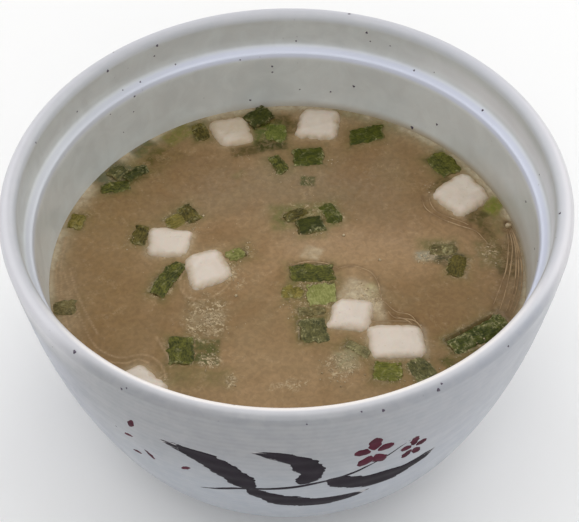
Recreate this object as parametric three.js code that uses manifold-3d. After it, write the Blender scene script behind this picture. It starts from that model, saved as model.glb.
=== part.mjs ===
// Miso soup in its stoneware bowl. Tofu cubes and slices of spring onion float in the broth.
// Millimetres, +Z up. The origin is the middle of the circle that the foot ring stands on.
import * as THREE from "three";
import { mergeVertices } from "three/addons/utils/BufferGeometryUtils.js";
import Module from "manifold-3d";

const wasm = await Module();
wasm.setup();

// The bowl
const BOWL_HEIGHT = 76;
const FACETS_AROUND = 56;
const INNER_STEPS = 14; // facets up the inside, shared by the bowl and the broth
const LIP_RADIUS = 2.1; // half the thickness of the rounded rim
const LIP_CIRCLE = 64.3; // radius of the circle that the rim's middle runs on
const FOOT_OUTER = 33;
const FOOT_INNER = 28.8;
const FOOT_HEIGHT = 4.7;
const FOOT_ROUNDING = 0.7;
const RECESS_HEIGHT = 3.4; // hollow inside the foot ring
const RECESS_SLOPE = 0.9;
const LEDGE_INNER = 59.5; // shelf inside the rim, where a lid would rest
const LEDGE_OUTER = 61.8;
const LEDGE_HEIGHT = 65.6;
const LEDGE_RISE = 1; // the shelf slopes up to the wall
const LEDGE_ROUNDING = 0.9;
const LEDGE_FILLET = 1.9; // where the shelf turns up into the wall
const UPPER_WALL_RADIUS = 62.1;

// The soup
const SOUP_LEVEL = 48.4;
const SOUP_RADIUS = 57.7; // of the wall at that level
const GAP = 0.3; // clearance between neighbouring solids
const TOFU_HEIGHT = 8.6;
const TOFU_SHARPNESS = 12; // power of the softened cube: higher is sharper
const TOFU_FACETS = 4; // along an edge
const TOFU_SWELL = 0.02; // unevenness of the sides, as a share of the width
const TOFU_DOME = 0.2;
const TUBE_TALL = 2; // a flattened onion tube, both walls together
const TUBE_WALL = 0.55;
const TUBE_BLUNTNESS = 2.8; // power of the oval section: higher is squarer
const LEAF_THICK = 0.8; // a slice that has fallen open into a single wall
const LEAF_TALL = 1.2; // with its arch

// Radius and height of the outside, from the foot ring's root to just under the rim.
const OUTER_WALL = [
  [FOOT_OUTER + 0.3, FOOT_HEIGHT], [40.1, 7], [47.3, 12.2], [52.2, 19.6], [58.2, 35.2],
  [62.5, 51.2], [65.5, 67.4],
];
// Radius and height of the inside, from the middle of the floor to just under the ledge.
const INNER_WALL = [
  [0, 7.9], [20.7, 8.1], [34.5, 10.4], [43.6, 15.9], [48.7, 23.7], [53.2, 34.9],
  [SOUP_RADIUS, SOUP_LEVEL], [59.3, 63.9],
];

const STONEWARE = new THREE.MeshStandardMaterial({ color: 0xb9bbbd, roughness: 0.3, metalness: 0 });
const BROTH = new THREE.MeshStandardMaterial({ color: 0x806848, roughness: 0.12, metalness: 0 });
const TOFU = new THREE.MeshStandardMaterial({ color: 0xcfc4b8, roughness: 0.55, metalness: 0 });
const DARK_GREEN = new THREE.MeshStandardMaterial({ color: 0x3c4419, roughness: 0.4, metalness: 0 });
const MID_GREEN = new THREE.MeshStandardMaterial({ color: 0x5c6a30, roughness: 0.4, metalness: 0 });
const PALE_GREEN = new THREE.MeshStandardMaterial({ color: 0x8f9a55, roughness: 0.4, metalness: 0 });

function splineOf(points) {
  return new THREE.SplineCurve(points.map(([radius, height]) => new THREE.Vector2(radius, height)));
}

// A closed profile, turned about the vertical axis.
function turned(profile) {
  return new THREE.LatheGeometry(profile, FACETS_AROUND).rotateX(Math.PI / 2);
}

function solidOf(geometry) {
  const bare = new THREE.BufferGeometry().setAttribute("position", geometry.getAttribute("position"));
  if (geometry.index) bare.setIndex(geometry.index);
  const merged = mergeVertices(bare, 1e-3);
  const triVerts = new Uint32Array(merged.index.array);
  const vertProperties = new Float32Array(merged.attributes.position.array);
  return new wasm.Manifold(new wasm.Mesh({ numProp: 3, vertProperties, triVerts }));
}

function geometryOf(solid) {
  const { vertProperties, triVerts } = solid.getMesh();
  return new THREE.BufferGeometry()
    .setAttribute("position", new THREE.BufferAttribute(vertProperties, 3))
    .setIndex(new THREE.BufferAttribute(triVerts, 1));
}

function footProfile() {
  return [
    [0, RECESS_HEIGHT],
    [FOOT_INNER - RECESS_SLOPE, RECESS_HEIGHT],
    [FOOT_INNER, FOOT_ROUNDING],
    [FOOT_INNER + FOOT_ROUNDING, 0],
    [FOOT_OUTER - FOOT_ROUNDING, 0],
    [FOOT_OUTER, FOOT_ROUNDING],
  ].map(([radius, height]) => new THREE.Vector2(radius, height));
}

// From the straight wall under the rim, over the sloping shelf and down to the wall below it.
function ledgeProfile() {
  const top = LEDGE_HEIGHT + LEDGE_RISE;
  return new THREE.Path()
    .moveTo(UPPER_WALL_RADIUS, top + LEDGE_FILLET)
    .quadraticCurveTo(LEDGE_OUTER, top, LEDGE_OUTER - LEDGE_ROUNDING, top - LEDGE_RISE / 3)
    .lineTo(LEDGE_INNER + LEDGE_ROUNDING, LEDGE_HEIGHT)
    .quadraticCurveTo(LEDGE_INNER, LEDGE_HEIGHT, LEDGE_INNER, LEDGE_HEIGHT - LEDGE_ROUNDING)
    .getPoints(2);
}

function bowlGeometry() {
  const lip = new THREE.Path()
    .absarc(LIP_CIRCLE, BOWL_HEIGHT - LIP_RADIUS, LIP_RADIUS, 0, Math.PI, false);
  return turned([
    ...footProfile(),
    ...splineOf(OUTER_WALL).getPoints(10),
    ...lip.getPoints(5),
    ...ledgeProfile(),
    ...splineOf(INNER_WALL).getPoints(INNER_STEPS).reverse(),
  ]);
}

// The broth fills the inside up to its level, a gap away from the wall. A sliver that a pocket cuts
// off beside the wall is dropped.
function brothGeometry(pockets) {
  const inside = splineOf(INNER_WALL);
  const profile = [];
  for (let i = 0; i <= INNER_STEPS; i += 1) {
    const along = inside.getTangent(i / INNER_STEPS);
    const inward = new THREE.Vector2(-along.y, along.x).multiplyScalar(GAP);
    const point = inside.getPoint(i / INNER_STEPS).add(inward);
    if (point.y < SOUP_LEVEL - 2 * GAP) profile.push(new THREE.Vector2(i ? point.x : 0, point.y));
  }
  profile.push(new THREE.Vector2(SOUP_RADIUS - GAP, SOUP_LEVEL), new THREE.Vector2(0, SOUP_LEVEL));
  let solid = solidOf(turned(profile));
  for (const pocket of pockets) solid = solid.subtract(solidOf(pocket));
  const [broth] = solid.decompose().sort((one, other) => other.volume() - one.volume());
  return geometryOf(broth);
}

// A softened cube whose top has the four given corners, anticlockwise. Near the wall its foot is
// drawn in towards the bowl's axis by lean. The sides are uneven, because tofu is cut by hand.
function tofuGeometry({ corners, top, lean }, grow) {
  const cube = new THREE.BoxGeometry(2, 2, 2, TOFU_FACETS, TOFU_FACETS, TOFU_FACETS);
  const tofu = mergeVertices(cube.deleteAttribute("normal").deleteAttribute("uv"));
  const points = corners.map(([x, y]) => new THREE.Vector2(x, y));
  const middle = points.reduce((sum, point) => sum.add(point), new THREE.Vector2()).divideScalar(4);
  const axisward = middle.clone().normalize().negate();
  const position = tofu.attributes.position;
  for (let i = 0; i < position.count; i += 1) {
    const raw = [position.getX(i), position.getY(i), position.getZ(i)];
    const eased = raw.map((value) => Math.sin((value * Math.PI) / 2));
    const norm = eased.reduce((sum, value) => sum + Math.abs(value) ** TOFU_SHARPNESS, 0);
    const soft = Math.max(...eased.map(Math.abs)) / norm ** (1 / TOFU_SHARPNESS);
    const [a, b, c] = eased.map((value) => value * soft);
    const weights = [(1 - a) * (1 - b), (1 + a) * (1 - b), (1 + a) * (1 + b), (1 - a) * (1 + b)];
    const offset = new THREE.Vector2();
    points.forEach((point, k) => offset.addScaledVector(point, weights[k] / 4));
    offset.sub(middle);
    const uneven = Math.sin(2.1 * c + middle.x) + Math.sin(3 * a - middle.y) * c;
    offset.multiplyScalar(1 + TOFU_SWELL * uneven);
    offset.setLength(offset.length() + grow * Math.SQRT2);
    offset.add(middle).addScaledVector(axisward, (lean * (1 - c)) / 2);
    const dome = TOFU_DOME * (1 - (a * a + b * b) / 2) * Math.max(c, 0);
    const z = top + ((c - 1) * TOFU_HEIGHT) / 2 + dome + c * grow;
    position.setXYZ(i, offset.x, offset.y, z);
  }
  return tofu;
}

// A flat oval outline with blunt ends.
function ovalOutline(halfWide, halfTall, count) {
  const blunted = (value) => Math.sign(value) * Math.abs(value) ** (2 / TUBE_BLUNTNESS);
  return Array.from({ length: count }, (_, i) => {
    const angle = (2 * Math.PI * (i + 0.5)) / count;
    const [x, y] = [blunted(Math.cos(angle)), blunted(Math.sin(angle))];
    return new THREE.Vector2(x * halfWide, y * halfTall);
  });
}

// The outline of a single wall that arches up in the middle.
function archOutline(halfWide, tall, count) {
  const upper = [];
  const lower = [];
  for (let i = 0; i <= count; i += 1) {
    const across = (2 * i) / count - 1;
    const middle = (tall - LEAF_THICK) * (0.5 - across * across);
    upper.push(new THREE.Vector2(-across * halfWide, middle + LEAF_THICK / 2));
    lower.push(new THREE.Vector2(across * halfWide, middle - LEAF_THICK / 2));
  }
  return [...upper, ...lower];
}

// Extrudes an outline along X with its width along Y, bends its ends down by bow and aside by
// curve, waves it and cuts its ends on the slant.
function onionGeometry(outline, { long, steps, bow = 0.2, wave = 0, slant = 0, curve = 0 }) {
  const [x, y, z] = [[1, 0, 0], [0, 1, 0], [0, 0, 1]].map((axis) => new THREE.Vector3(...axis));
  const slice = new THREE.ExtrudeGeometry(outline, { depth: long, steps, bevelEnabled: false })
    .translate(0, 0, -long / 2)
    .applyMatrix4(new THREE.Matrix4().makeBasis(y, z, x));
  const position = slice.attributes.position;
  for (let i = 0; i < position.count; i += 1) {
    const [along, across] = [position.getX(i), position.getY(i)];
    const u = (2 * along) / long;
    const lift = wave * Math.sin(2.4 * u + 0.5 * across) - bow * u * u;
    position.setXYZ(i, along + slant * across, across + curve * u * u, position.getZ(i) + lift);
  }
  return slice;
}

// A slice of flattened onion tube, open at both cut ends.
function tubeSlice({ wide, tall, ...form }) {
  const outline = new THREE.Shape(ovalOutline(wide / 2, tall / 2, 12));
  outline.holes.push(new THREE.Path(ovalOutline(wide / 2 - TUBE_WALL, tall / 2 - TUBE_WALL, 8)));
  return onionGeometry(outline, { steps: 2, ...form });
}

// A slice that has opened out into one curved wall.
function leafSlice({ wide, tall, ...form }) {
  return onionGeometry(new THREE.Shape(archOutline(wide / 2, tall, 5)), { steps: 3, ...form });
}

// The hollow that a slice makes in the broth: a plain bar, a gap larger all round.
function slicePocket({ long, wide, tall, ...form }) {
  const [halfWide, halfTall] = [wide / 2 + GAP, tall / 2 + GAP];
  const corners = [[-1, -1], [1, -1], [1, 1], [-1, 1]];
  const outline = corners.map(([x, y]) => new THREE.Vector2(x * halfWide, y * halfTall));
  return onionGeometry(new THREE.Shape(outline), { long: long + 2 * GAP, steps: 1, ...form });
}

const soup = new THREE.Group();
const pockets = [];

function add(name, geometry, material) {
  const mesh = new THREE.Mesh(geometry, material);
  mesh.name = name;
  soup.add(mesh);
  return mesh;
}

function addTofu(name, corners, { rise = 0.8, lean = 0 } = {}) {
  const form = { corners, top: SOUP_LEVEL + rise, lean };
  add(name, tofuGeometry(form, 0), TOFU);
  pockets.push(tofuGeometry(form, GAP));
}

// x, y is the middle of the slice, turn the direction of its fibres in degrees from +X, rise how
// far its upper side stands out of the broth, and pitch how far its far end dips.
function addOnion(number, material, slice, { x, y, turn, rise = 0.5, pitch = 0, ...form }) {
  const mesh = add(`onion_${number}`, slice(form), material);
  mesh.position.set(x, y, SOUP_LEVEL + rise - form.tall / 2);
  mesh.rotation.set(0, THREE.MathUtils.degToRad(pitch), THREE.MathUtils.degToRad(turn), "ZYX");
  mesh.updateMatrixWorld();
  pockets.push(slicePocket(form).applyMatrix4(mesh.matrixWorld));
}

function addLeaf(number, material, form) {
  addOnion(number, material, leafSlice, { tall: LEAF_TALL, ...form });
}

function addTube(number, material, form) {
  addOnion(number, material, tubeSlice, { tall: TUBE_TALL, ...form });
}

add("bowl", bowlGeometry(), STONEWARE);

addTofu("tofu_back_left", [[-16.5, 43.2], [-8.4, 44.8], [-10.5, 53.5], [-20, 51.4]], { lean: 1 });
addTofu("tofu_back", [[2.8, 46.2], [12.8, 45.6], [14.4, 55.1], [5.3, 56.3]], { rise: 1.2, lean: 3 });
addTofu("tofu_right", [[43.6, 16.2], [51.4, 22.8], [46, 31.4], [36.9, 24.4]], { rise: 1, lean: 2.6 });
addTofu("tofu_left", [[-34.2, 4.4], [-24.8, 4.3], [-23, 12.6], [-34.1, 13.9]]);
addTofu("tofu_inner_left", [[-22.6, -6.6], [-14, -2.2], [-17.5, 6.2], [-24.2, 3.6]]);
addTofu("tofu_front_left", [[-35.6, -42], [-27.8, -36.6], [-34.4, -29], [-42, -34.6]], { lean: 2 });
addTofu("tofu_centre", [[8.9, -18.8], [18.4, -20], [20.4, -11.5], [11.9, -10.5]]);
addTofu("tofu_front_right", [[19.6, -28.8], [31.6, -28.2], [31, -19.2], [18.4, -21]]);

// Round the back, from left to right
addLeaf("01", DARK_GREEN, { x: -52.2, y: 17, turn: 78, long: 4.5, wide: 3.6 });
addLeaf("02", DARK_GREEN, { x: -43.6, y: 28.8, turn: 12, long: 6.4, wide: 3.9, tall: 1.5 });
addLeaf("03", DARK_GREEN, { x: -38.4, y: 33.2, turn: 38, long: 5.6, wide: 2.4, tall: 1.6, rise: 0.9 });
addTube("04", DARK_GREEN, { x: -43.5, y: 34, turn: 52, long: 4, wide: 3.7, rise: 0.8 });
addLeaf("05", DARK_GREEN, { x: -22.6, y: 48.4, turn: -72, long: 5.6, wide: 3.4 });
addTube("06", DARK_GREEN, { x: -7, y: 53.2, turn: 36, long: 5.6, wide: 4.4, rise: 1.5, pitch: -6 });
addTube("07", MID_GREEN, { x: -2.4, y: 47.4, turn: 82, long: 5.4, wide: 5.2, rise: 0.4 });
addTube("08", DARK_GREEN, { x: 21.3, y: 46.4, turn: 18, long: 8.2, wide: 5.2, slant: 0.35 });
addTube("09", DARK_GREEN, { x: 40, y: 35.4, turn: -58, long: 6.7, wide: 5.7 });
addLeaf("10", DARK_GREEN, { x: -1.9, y: 35.4, turn: -68, long: 5.5, wide: 2.8 });
addTube("11", DARK_GREEN, { x: 5.8, y: 38.4, turn: 4, long: 7.3, wide: 6.3 });

// Across the middle
addLeaf("12", DARK_GREEN, { x: -24.5, y: 18.9, turn: -56, long: 5.4, wide: 3.5 });
addLeaf("13", MID_GREEN, { x: -28.3, y: 16.8, turn: 40, long: 3.6, wide: 3.4, rise: 0.3 });
addLeaf("14", DARK_GREEN, { x: -36.6, y: 11.7, turn: 80, long: 5.4, wide: 3.2 });
addLeaf("15", DARK_GREEN, {
  x: -29.8, y: -3.1, turn: 60, long: 10.8, wide: 4.2, tall: 1.5, curve: -0.8, steps: 5,
});
addLeaf("16", PALE_GREEN, { x: -11.7, y: 4.8, turn: 24, long: 3.8, wide: 2.9 });
addLeaf("17", DARK_GREEN, { x: 1.7, y: 18.1, turn: 28, long: 5.2, wide: 2.7, tall: 1.6, rise: 0.7 });
addTube("18", DARK_GREEN, { x: 6.1, y: 14.2, turn: 14, long: 5.2, wide: 4, tall: 2.5, rise: 0.8 });
addLeaf("19", DARK_GREEN, { x: 11.5, y: 18.1, turn: -62, long: 6, wide: 3.8, tall: 1.5 });
addLeaf("20", DARK_GREEN, { x: 38.2, y: 5.9, turn: 4, long: 5.7, wide: 3, rise: 0.4 });
addLeaf("21", DARK_GREEN, { x: 41.4, y: -0.4, turn: 76, long: 6, wide: 4.1, tall: 1.4 });

// Towards the front
addTube("22", DARK_GREEN, { x: -53, y: -11.7, turn: 4, long: 4.5, wide: 4.3 });
addTube("23", DARK_GREEN, { x: -25.1, y: -25.3, turn: 91, long: 7.8, wide: 6.2 });
addTube("24", DARK_GREEN, { x: 6, y: -1.7, turn: 0, long: 10, wide: 5.4, slant: -0.15 });
addTube("25", PALE_GREEN, { x: 8.2, y: -8.4, turn: 6, long: 6, wide: 6.4 });
addLeaf("26", MID_GREEN, { x: 1.8, y: -7.8, turn: 4, long: 4.1, wide: 3.5, rise: 0.35 });
addLeaf("27", MID_GREEN, { x: 5.2, y: -14, turn: 0, long: 5.8, wide: 2.4, rise: 0.35 });
addTube("28", MID_GREEN, { x: 5.3, y: -19.6, turn: -86, long: 6.6, wide: 6.2, rise: 0.4 });
addLeaf("29", MID_GREEN, { x: 15.6, y: -25.4, turn: -34, long: 5.5, wide: 2.2, tall: 1.4 });
addTube("30", PALE_GREEN, { x: 22.4, y: -32.6, turn: -4, long: 5.7, wide: 5.2 });
addLeaf("31", DARK_GREEN, { x: 30.6, y: -32.4, turn: -62, long: 6, wide: 4.6, tall: 1.4 });
addLeaf("32", DARK_GREEN, {
  x: 44.4, y: -21.8, turn: 32, long: 15.5, wide: 5.4, tall: 1.7, wave: 0.3, curve: 0.7, steps: 7,
  rise: 0.8,
});

add("broth", brothGeometry(pockets), BROTH);

export default soup;
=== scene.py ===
"""Miso soup in its stoneware bowl, dressed over the CAD frame.

The file follows the object as it is put together: the bowl, its iron specks and its brushwork, the
broth, the tofu, the spring onion, the threads and bubbles on the broth, and then the table, the
light and the camera.
"""

import math

import bpy
import numpy as np
from mathutils import Matrix, Vector, geometry, noise
from mathutils.bvhtree import BVHTree


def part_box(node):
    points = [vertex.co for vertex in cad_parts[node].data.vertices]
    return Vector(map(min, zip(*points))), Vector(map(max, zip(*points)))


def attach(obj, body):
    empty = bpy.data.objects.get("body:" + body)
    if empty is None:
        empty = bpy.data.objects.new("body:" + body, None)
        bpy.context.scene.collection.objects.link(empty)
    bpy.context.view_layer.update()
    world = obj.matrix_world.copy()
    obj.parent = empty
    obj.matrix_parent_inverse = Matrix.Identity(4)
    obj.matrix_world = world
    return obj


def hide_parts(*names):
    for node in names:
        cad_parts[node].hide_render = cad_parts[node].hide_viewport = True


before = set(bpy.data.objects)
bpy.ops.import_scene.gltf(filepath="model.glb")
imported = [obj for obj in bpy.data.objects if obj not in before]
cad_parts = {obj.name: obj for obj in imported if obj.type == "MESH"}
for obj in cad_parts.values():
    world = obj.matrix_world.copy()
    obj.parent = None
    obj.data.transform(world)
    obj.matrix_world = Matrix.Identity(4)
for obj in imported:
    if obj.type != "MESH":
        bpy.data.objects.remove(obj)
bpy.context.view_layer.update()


# ---------------------------------------------------------------------------------------------
# The bowl. Wheel-thrown stoneware with a rounded rim, a ledge inside it for a lid and a turned
# foot ring. It is dipped in a pale grey glaze, through which the iron in the clay has bled as
# specks. The ring that it stands on is wiped clean before the firing and stays bare clay.
# ---------------------------------------------------------------------------------------------

MM = 0.001
BOWL_HEIGHT = 76 * MM
LIP_RADIUS = 2.1 * MM
LIP_CIRCLE = 64.3 * MM  # radius of the circle that the middle of the rounded lip follows
FOOT_INNER = 28.8 * MM
FOOT_OUTER = 33 * MM
FOOT_ROUNDING = 0.7 * MM
FOOT_WIPED = 0.9 * MM  # height up to which the foot ring is bare clay
# The profile, as (radius, height) places in millimetres.
FOOT_RECESS = [(0, 3.4), (14, 3.4), (26.2, 3.4), (27.9, 3), (28.6, 1.9), (28.8, 0.7)]
FOOT_SIDE = [(33.05, 2.2), (33.1, 3.8)]
OUTER_WALL = [
    (33.3, 4.7), (40.1, 7), (47.3, 12.2), (52.2, 19.6), (58.2, 35.2), (62.5, 51.2), (65.5, 67.4),
]
RIM_WALL = [(62.2, 73), (62.15, 71.5), (62.1, 70)]  # from the lip down to the ledge
LEDGE = [(59.5, 64.7), (59.8, 65.4), (60.4, 65.7), (61.1, 66.3), (61.8, 67), (62.1, 68.5)]
INNER_WALL = [
    (0, 7.9), (20.7, 8.1), (34.5, 10.4), (43.6, 15.9), (48.7, 23.7), (53.2, 34.9), (57.7, 48.4),
    (59.3, 63.9),
]
# How many places the mesh has round the bowl, and along each part of the profile.
BOWL_AROUND = 256
RECESS_STEPS = 24
FOOT_STEPS = 6
WALL_STEPS = 80
LIP_STEPS = 32
LEDGE_STEPS = 26

RIDGE_SPACING = 5.2 * MM  # of the rings that the potter's fingers leave outside
RIDGE_DEPTH = 0.07 * MM
RIDGE_LOW = 14 * MM
RIDGE_HIGH = 66 * MM
RIDGE_FADE = 8 * MM
RIDGE_UNEVEN = 0.7  # how far the rings rise and fall on their way round, in radians
RIDGE_START = 0.4  # where round the bowl that begins, in radians
WALL_SWAY = 0.8  # how far the wall sways out of round, in depths of a ridge
SWAY_CLIMB = 40  # how far the sway turns with the height, in radians per metre

LIP_TURNS = (-10, 30, 60, 85, 112, 140, 165, 184)  # round the lip from outside to inside, in degrees
LIP_THIN_AND_SHEEN = (0.8, 1, 1, 0.8, 0.45, 0.2, 0.1, 0)  # how thin the glaze is at each of them, with a painted reflection of the bright room along the outer side
LIP_SHEEN_FRONT = (0, 0.03, 0.14, 0.53, 1, 1, 0.5, 0.1)  # the same at the front, where the painted reflection lies on the inner side
LIP_OVER = (95, 150)  # between these turns the outside passes into the inside
HIGHLIGHT_TURNS = (92, 114, 140, 165)
HIGHLIGHT_STRENGTH = (0, 1, 1, 0)  # how strong the painted highlight along the inner edge of the front of the lip is at each of them
# At the front the painted reflection lies on the inner side of the lip, beside a painted highlight.
# What counts as the front: the turn of its middle in degrees, the cosine of the angle from there at
# which it ends, and over how much of the cosine it sets in.
SHEEN_FRONT = (8, 0.5, 0.2)
HIGHLIGHT_FRONT = (0, 0.45, 0.45)
LEDGE_THIN_AND_LIT = 62 * MM  # radius within which the glaze has run off the ledge, which also takes painted light there
LEDGE_FADE = 1.1 * MM


def colour(red, green, blue):
    """A colour given in the 0 to 255 steps of a paint chart, as the shaders take it."""
    parts = np.array([red, green, blue]) / 255
    linear = np.where(parts > 0.04045, ((parts + 0.055) / 1.055) ** 2.4, parts / 12.92)
    return (*linear.tolist(), 1.0)


# The glaze outside: low on the wall, under the rim, painted lighter at the right as if lit from
# there, and at the left under the rim.
GLAZE_LOW = colour(163, 170, 181)
GLAZE_HIGH = colour(141, 143, 148)
GLAZE_LIT_OUTSIDE = colour(180, 186, 200)
GLAZE_LEFT = colour(166, 174, 198)
# Inside: plain, clouded, painted light at the right, more painted light between the ledge and
# the lip at the right, in the shade of the lip, and stained.
GLAZE_INSIDE = colour(214, 218, 216)
GLAZE_CLOUDED = colour(203, 206, 204)
GLAZE_LIT_INSIDE = colour(237, 242, 243)
GLAZE_LIT_UPPER_WALL = colour(244, 245, 248)
GLAZE_SHADED = colour(176, 179, 185)
SOUP_STAIN = colour(158, 141, 110)
# Where it has run thin on the lip and on the ledge, lighter to the right as painted light and
# darker on the lip at the back as painted shade, and the painted highlight along the front of the lip.
LIP_LEFT = colour(214, 214, 220)
LIP_RIGHT = colour(219, 218, 222)
LIP_SHADED_BACK = colour(204, 204, 211)
LEDGE_LEFT = colour(196, 199, 206)
LEDGE_LIT_RIGHT = colour(212, 217, 234)
LIP_HIGHLIGHT = colour(250, 244, 240)
# All over: a broad and a fine mottle, the rings of throwing, and the iron.
MOTTLE_BROAD = colour(176, 182, 186)
MOTTLE_FINE = colour(222, 216, 210)
RING_TONE = colour(224, 228, 234)
GLAZE_IRON = colour(62, 48, 66)
CLAY_LIGHT = colour(188, 170, 148)
CLAY_DARK = colour(168, 148, 126)
CLAY_IRON = colour(90, 66, 52)

# The stretches over which the glaze changes. These are heights:
GREYING_UP = (30 * MM, 66 * MM)
COOL_BELOW = (62 * MM, 72 * MM)
LIT_UPPER_ABOVE = (66.4 * MM, 68.4 * MM)
LIT_UPPER_BELOW = (70.5 * MM, 73.5 * MM)
SHADED_ABOVE = (73.7 * MM, 75.1 * MM)
SOAKED_BELOW = (51 * MM, 57 * MM)
LEDGE_TO_LIP = (67.5 * MM, 70 * MM)
# These run from left to right:
LIT_OUTSIDE_ACROSS = (0, 60 * MM)
COOLING = (-60 * MM, -38 * MM)
LIT_INSIDE_ACROSS = (5 * MM, 55 * MM)
LIT_UPPER_ACROSS = (20 * MM, 58 * MM)
STAINING = (-45 * MM, 45 * MM)
SOAKING = (36 * MM, 57 * MM)
LIP_ACROSS = (-60 * MM, 60 * MM)
LEDGE_ACROSS = (-60 * MM, -15 * MM)
# And these run towards the back:
LIP_BACKWARDS = (5 * MM, 50 * MM)
TURNING_AWAY = (0, 20 * MM)
SOUP_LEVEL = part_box("broth")[1].z  # the height at which the broth stands
STAIN_HIGH = 2.9 * MM  # how far above it the wall is wet
SPECK_WOBBLE = 0.35 * MM  # by which the specks in the glaze are out of round
PEEL_DEEP = 0.05 * MM  # of the fine waves that the glaze has set in
GRIT_DEEP = 0.1 * MM


def smooth_line(points, count):
    """A smooth line through some (radius, height) points given in millimetres."""
    held = [points[0], *points, points[-1]]
    line = []
    for place in np.linspace(0, len(points) - 1, count):
        i = min(int(place), len(points) - 2)
        t = place - i
        a, b, c, d = (np.array(point, float) for point in held[i : i + 4])
        bend = (2 * a - 5 * b + 4 * c - d) * t**2 + (3 * b - 3 * c + d - a) * t**3
        line.append(MM * (2 * b + (c - a) * t + bend) / 2)
    return np.array(line)


def arc(centre_radius, height, radius, start, end, count):
    """An arc of the profile, from one angle to another in degrees."""
    angles = np.radians(np.linspace(start, end, count))
    return np.column_stack([centre_radius + radius * np.cos(angles), height + radius * np.sin(angles)])


def mesh_object(name, vertices, faces, materials):
    """A smooth-shaded mesh object at the origin."""
    mesh = bpy.data.meshes.new(name)
    mesh.from_pydata(np.asarray(vertices).tolist(), [], faces)
    mesh.polygons.foreach_set("use_smooth", [True] * len(mesh.polygons))
    for material in materials:
        mesh.materials.append(material)
    mesh.update()
    made = bpy.data.objects.new(name, mesh)
    bpy.context.scene.collection.objects.link(made)
    return made


def mark(mesh, name, values, kind="FLOAT", field="value"):
    """Gives each point of a mesh a value that its material or its node tree can read."""
    mesh.attributes.new(name, kind, "POINT").data.foreach_set(field, values)


def put(tree, kind, inputs=None, **settings):
    """Adds a node to a tree, sets it up, and fills or links its inputs."""
    made = tree.nodes.new(kind)
    for key, value in settings.items():
        setattr(made, key, value)
    for key, value in (inputs or {}).items():
        if isinstance(value, bpy.types.NodeSocket):
            tree.links.new(value, made.inputs[key])
        else:
            made.inputs[key].default_value = value
    return made


def reckon(tree, operation, *values):
    """Works a value out from others."""
    return put(tree, "ShaderNodeMath", dict(enumerate(values)), operation=operation).outputs[0]


def product(tree, one, other):
    """The product of two values."""
    return reckon(tree, "MULTIPLY", one, other)


def ramp(tree, value, low, high, start=0.0, end=1.0):
    """Turns the stretch from low to high of a value into the stretch from start to end."""
    wanted = {"Value": value, "From Min": low, "From Max": high, "To Min": start, "To Max": end}
    return put(tree, "ShaderNodeMapRange", wanted, interpolation_type="SMOOTHSTEP").outputs[0]


def blend(tree, share, one, other):
    """Mixes two colours by a share, and gives the socket of the mix."""
    mix = put(tree, "ShaderNodeMix", {0: share, 6: one, 7: other}, data_type="RGBA")
    return mix.outputs[2]


def shaken(tree, place, scale, detail, far):
    """A place shifted unevenly, by up to so far along each axis."""
    uneven = put(tree, "ShaderNodeTexNoise", {"Vector": place, "Scale": scale, "Detail": detail})
    wanted = {0: uneven.outputs["Color"], 1: (far, far, far)}
    shift = put(tree, "ShaderNodeVectorMath", wanted, operation="MULTIPLY")
    return put(tree, "ShaderNodeVectorMath", {0: place, 1: shift.outputs[0]}).outputs[0]


def attribute(tree, name):
    """A value that the mesh carries at its points."""
    return put(tree, "ShaderNodeAttribute", attribute_name=name).outputs["Fac"]


def surface(name, **constants):
    """A new material with a Principled surface, and the tree, surface and object coordinates."""
    material = bpy.data.materials.new(name)
    material.use_nodes = True
    tree = material.node_tree
    shader = tree.nodes["Principled BSDF"]
    for key, value in constants.items():
        shader.inputs[key.replace("_", " ")].default_value = value
    return material, tree, shader, tree.nodes.new("ShaderNodeTexCoord").outputs["Object"]


def feed(tree, shader, **values):
    """Links values that change over the surface to the surface's inputs."""
    for key, value in values.items():
        tree.links.new(value, shader.inputs[key.replace("_", " ")])


def relief(tree, height, strength, depth):
    """The normal of a surface whose height changes by up to some depth."""
    wanted = {"Height": height, "Strength": strength, "Distance": depth}
    return put(tree, "ShaderNodeBump", wanted).outputs[0]


def group(name, values, result):
    """A shader node group that reads a vector and some named values and puts out one value."""
    tree = bpy.data.node_groups.new(name, "ShaderNodeTree")
    tree.interface.new_socket("Vector", in_out="INPUT", socket_type="NodeSocketVector")
    for title, default in values.items():
        socket = tree.interface.new_socket(title, in_out="INPUT", socket_type="NodeSocketFloat")
        socket.default_value = default
    tree.interface.new_socket(result, in_out="OUTPUT", socket_type="NodeSocketFloat")
    given = tree.nodes.new("NodeGroupInput").outputs
    return tree, given, tree.nodes.new("NodeGroupOutput").inputs[result]


def cloud_group():
    """Soft, slightly torn clouds of tone, as in glaze, broth, curd and leaf."""
    tree, given, out = group("soft_clouds", {"Scale": 100.0, "Tear": 0.4}, "Cloud")
    wanted = {"Vector": given["Vector"], "Scale": given["Scale"], "Detail": 5.0, "Roughness": 0.55}
    wanted["Distortion"] = given["Tear"]
    tree.links.new(ramp(tree, put(tree, "ShaderNodeTexNoise", wanted).outputs[0], 0.3, 0.7), out)
    return tree


def speck_group():
    """Iron specks: a few of the cells of a fine net hold a round dot each."""
    tree, given, out = group("iron_specks", {"Scale": 100.0, "Share": 0.2, "Size": 0.1}, "Speck")
    place = shaken(tree, given["Vector"], 2600.0, 1.0, SPECK_WOBBLE)
    net = put(tree, "ShaderNodeTexVoronoi", {"Vector": place, "Scale": given["Scale"]})
    chance = put(tree, "ShaderNodeSeparateColor", {"Color": net.outputs["Color"]})
    chosen = reckon(tree, "LESS_THAN", chance.outputs[0], given["Share"])
    inner = product(tree, given["Size"], 0.45)
    wanted = {"Value": net.outputs["Distance"], "From Min": given["Size"], "From Max": inner}
    dot = put(tree, "ShaderNodeMapRange", wanted)
    tree.links.new(product(tree, dot.outputs[0], chosen), out)
    return tree


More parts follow.
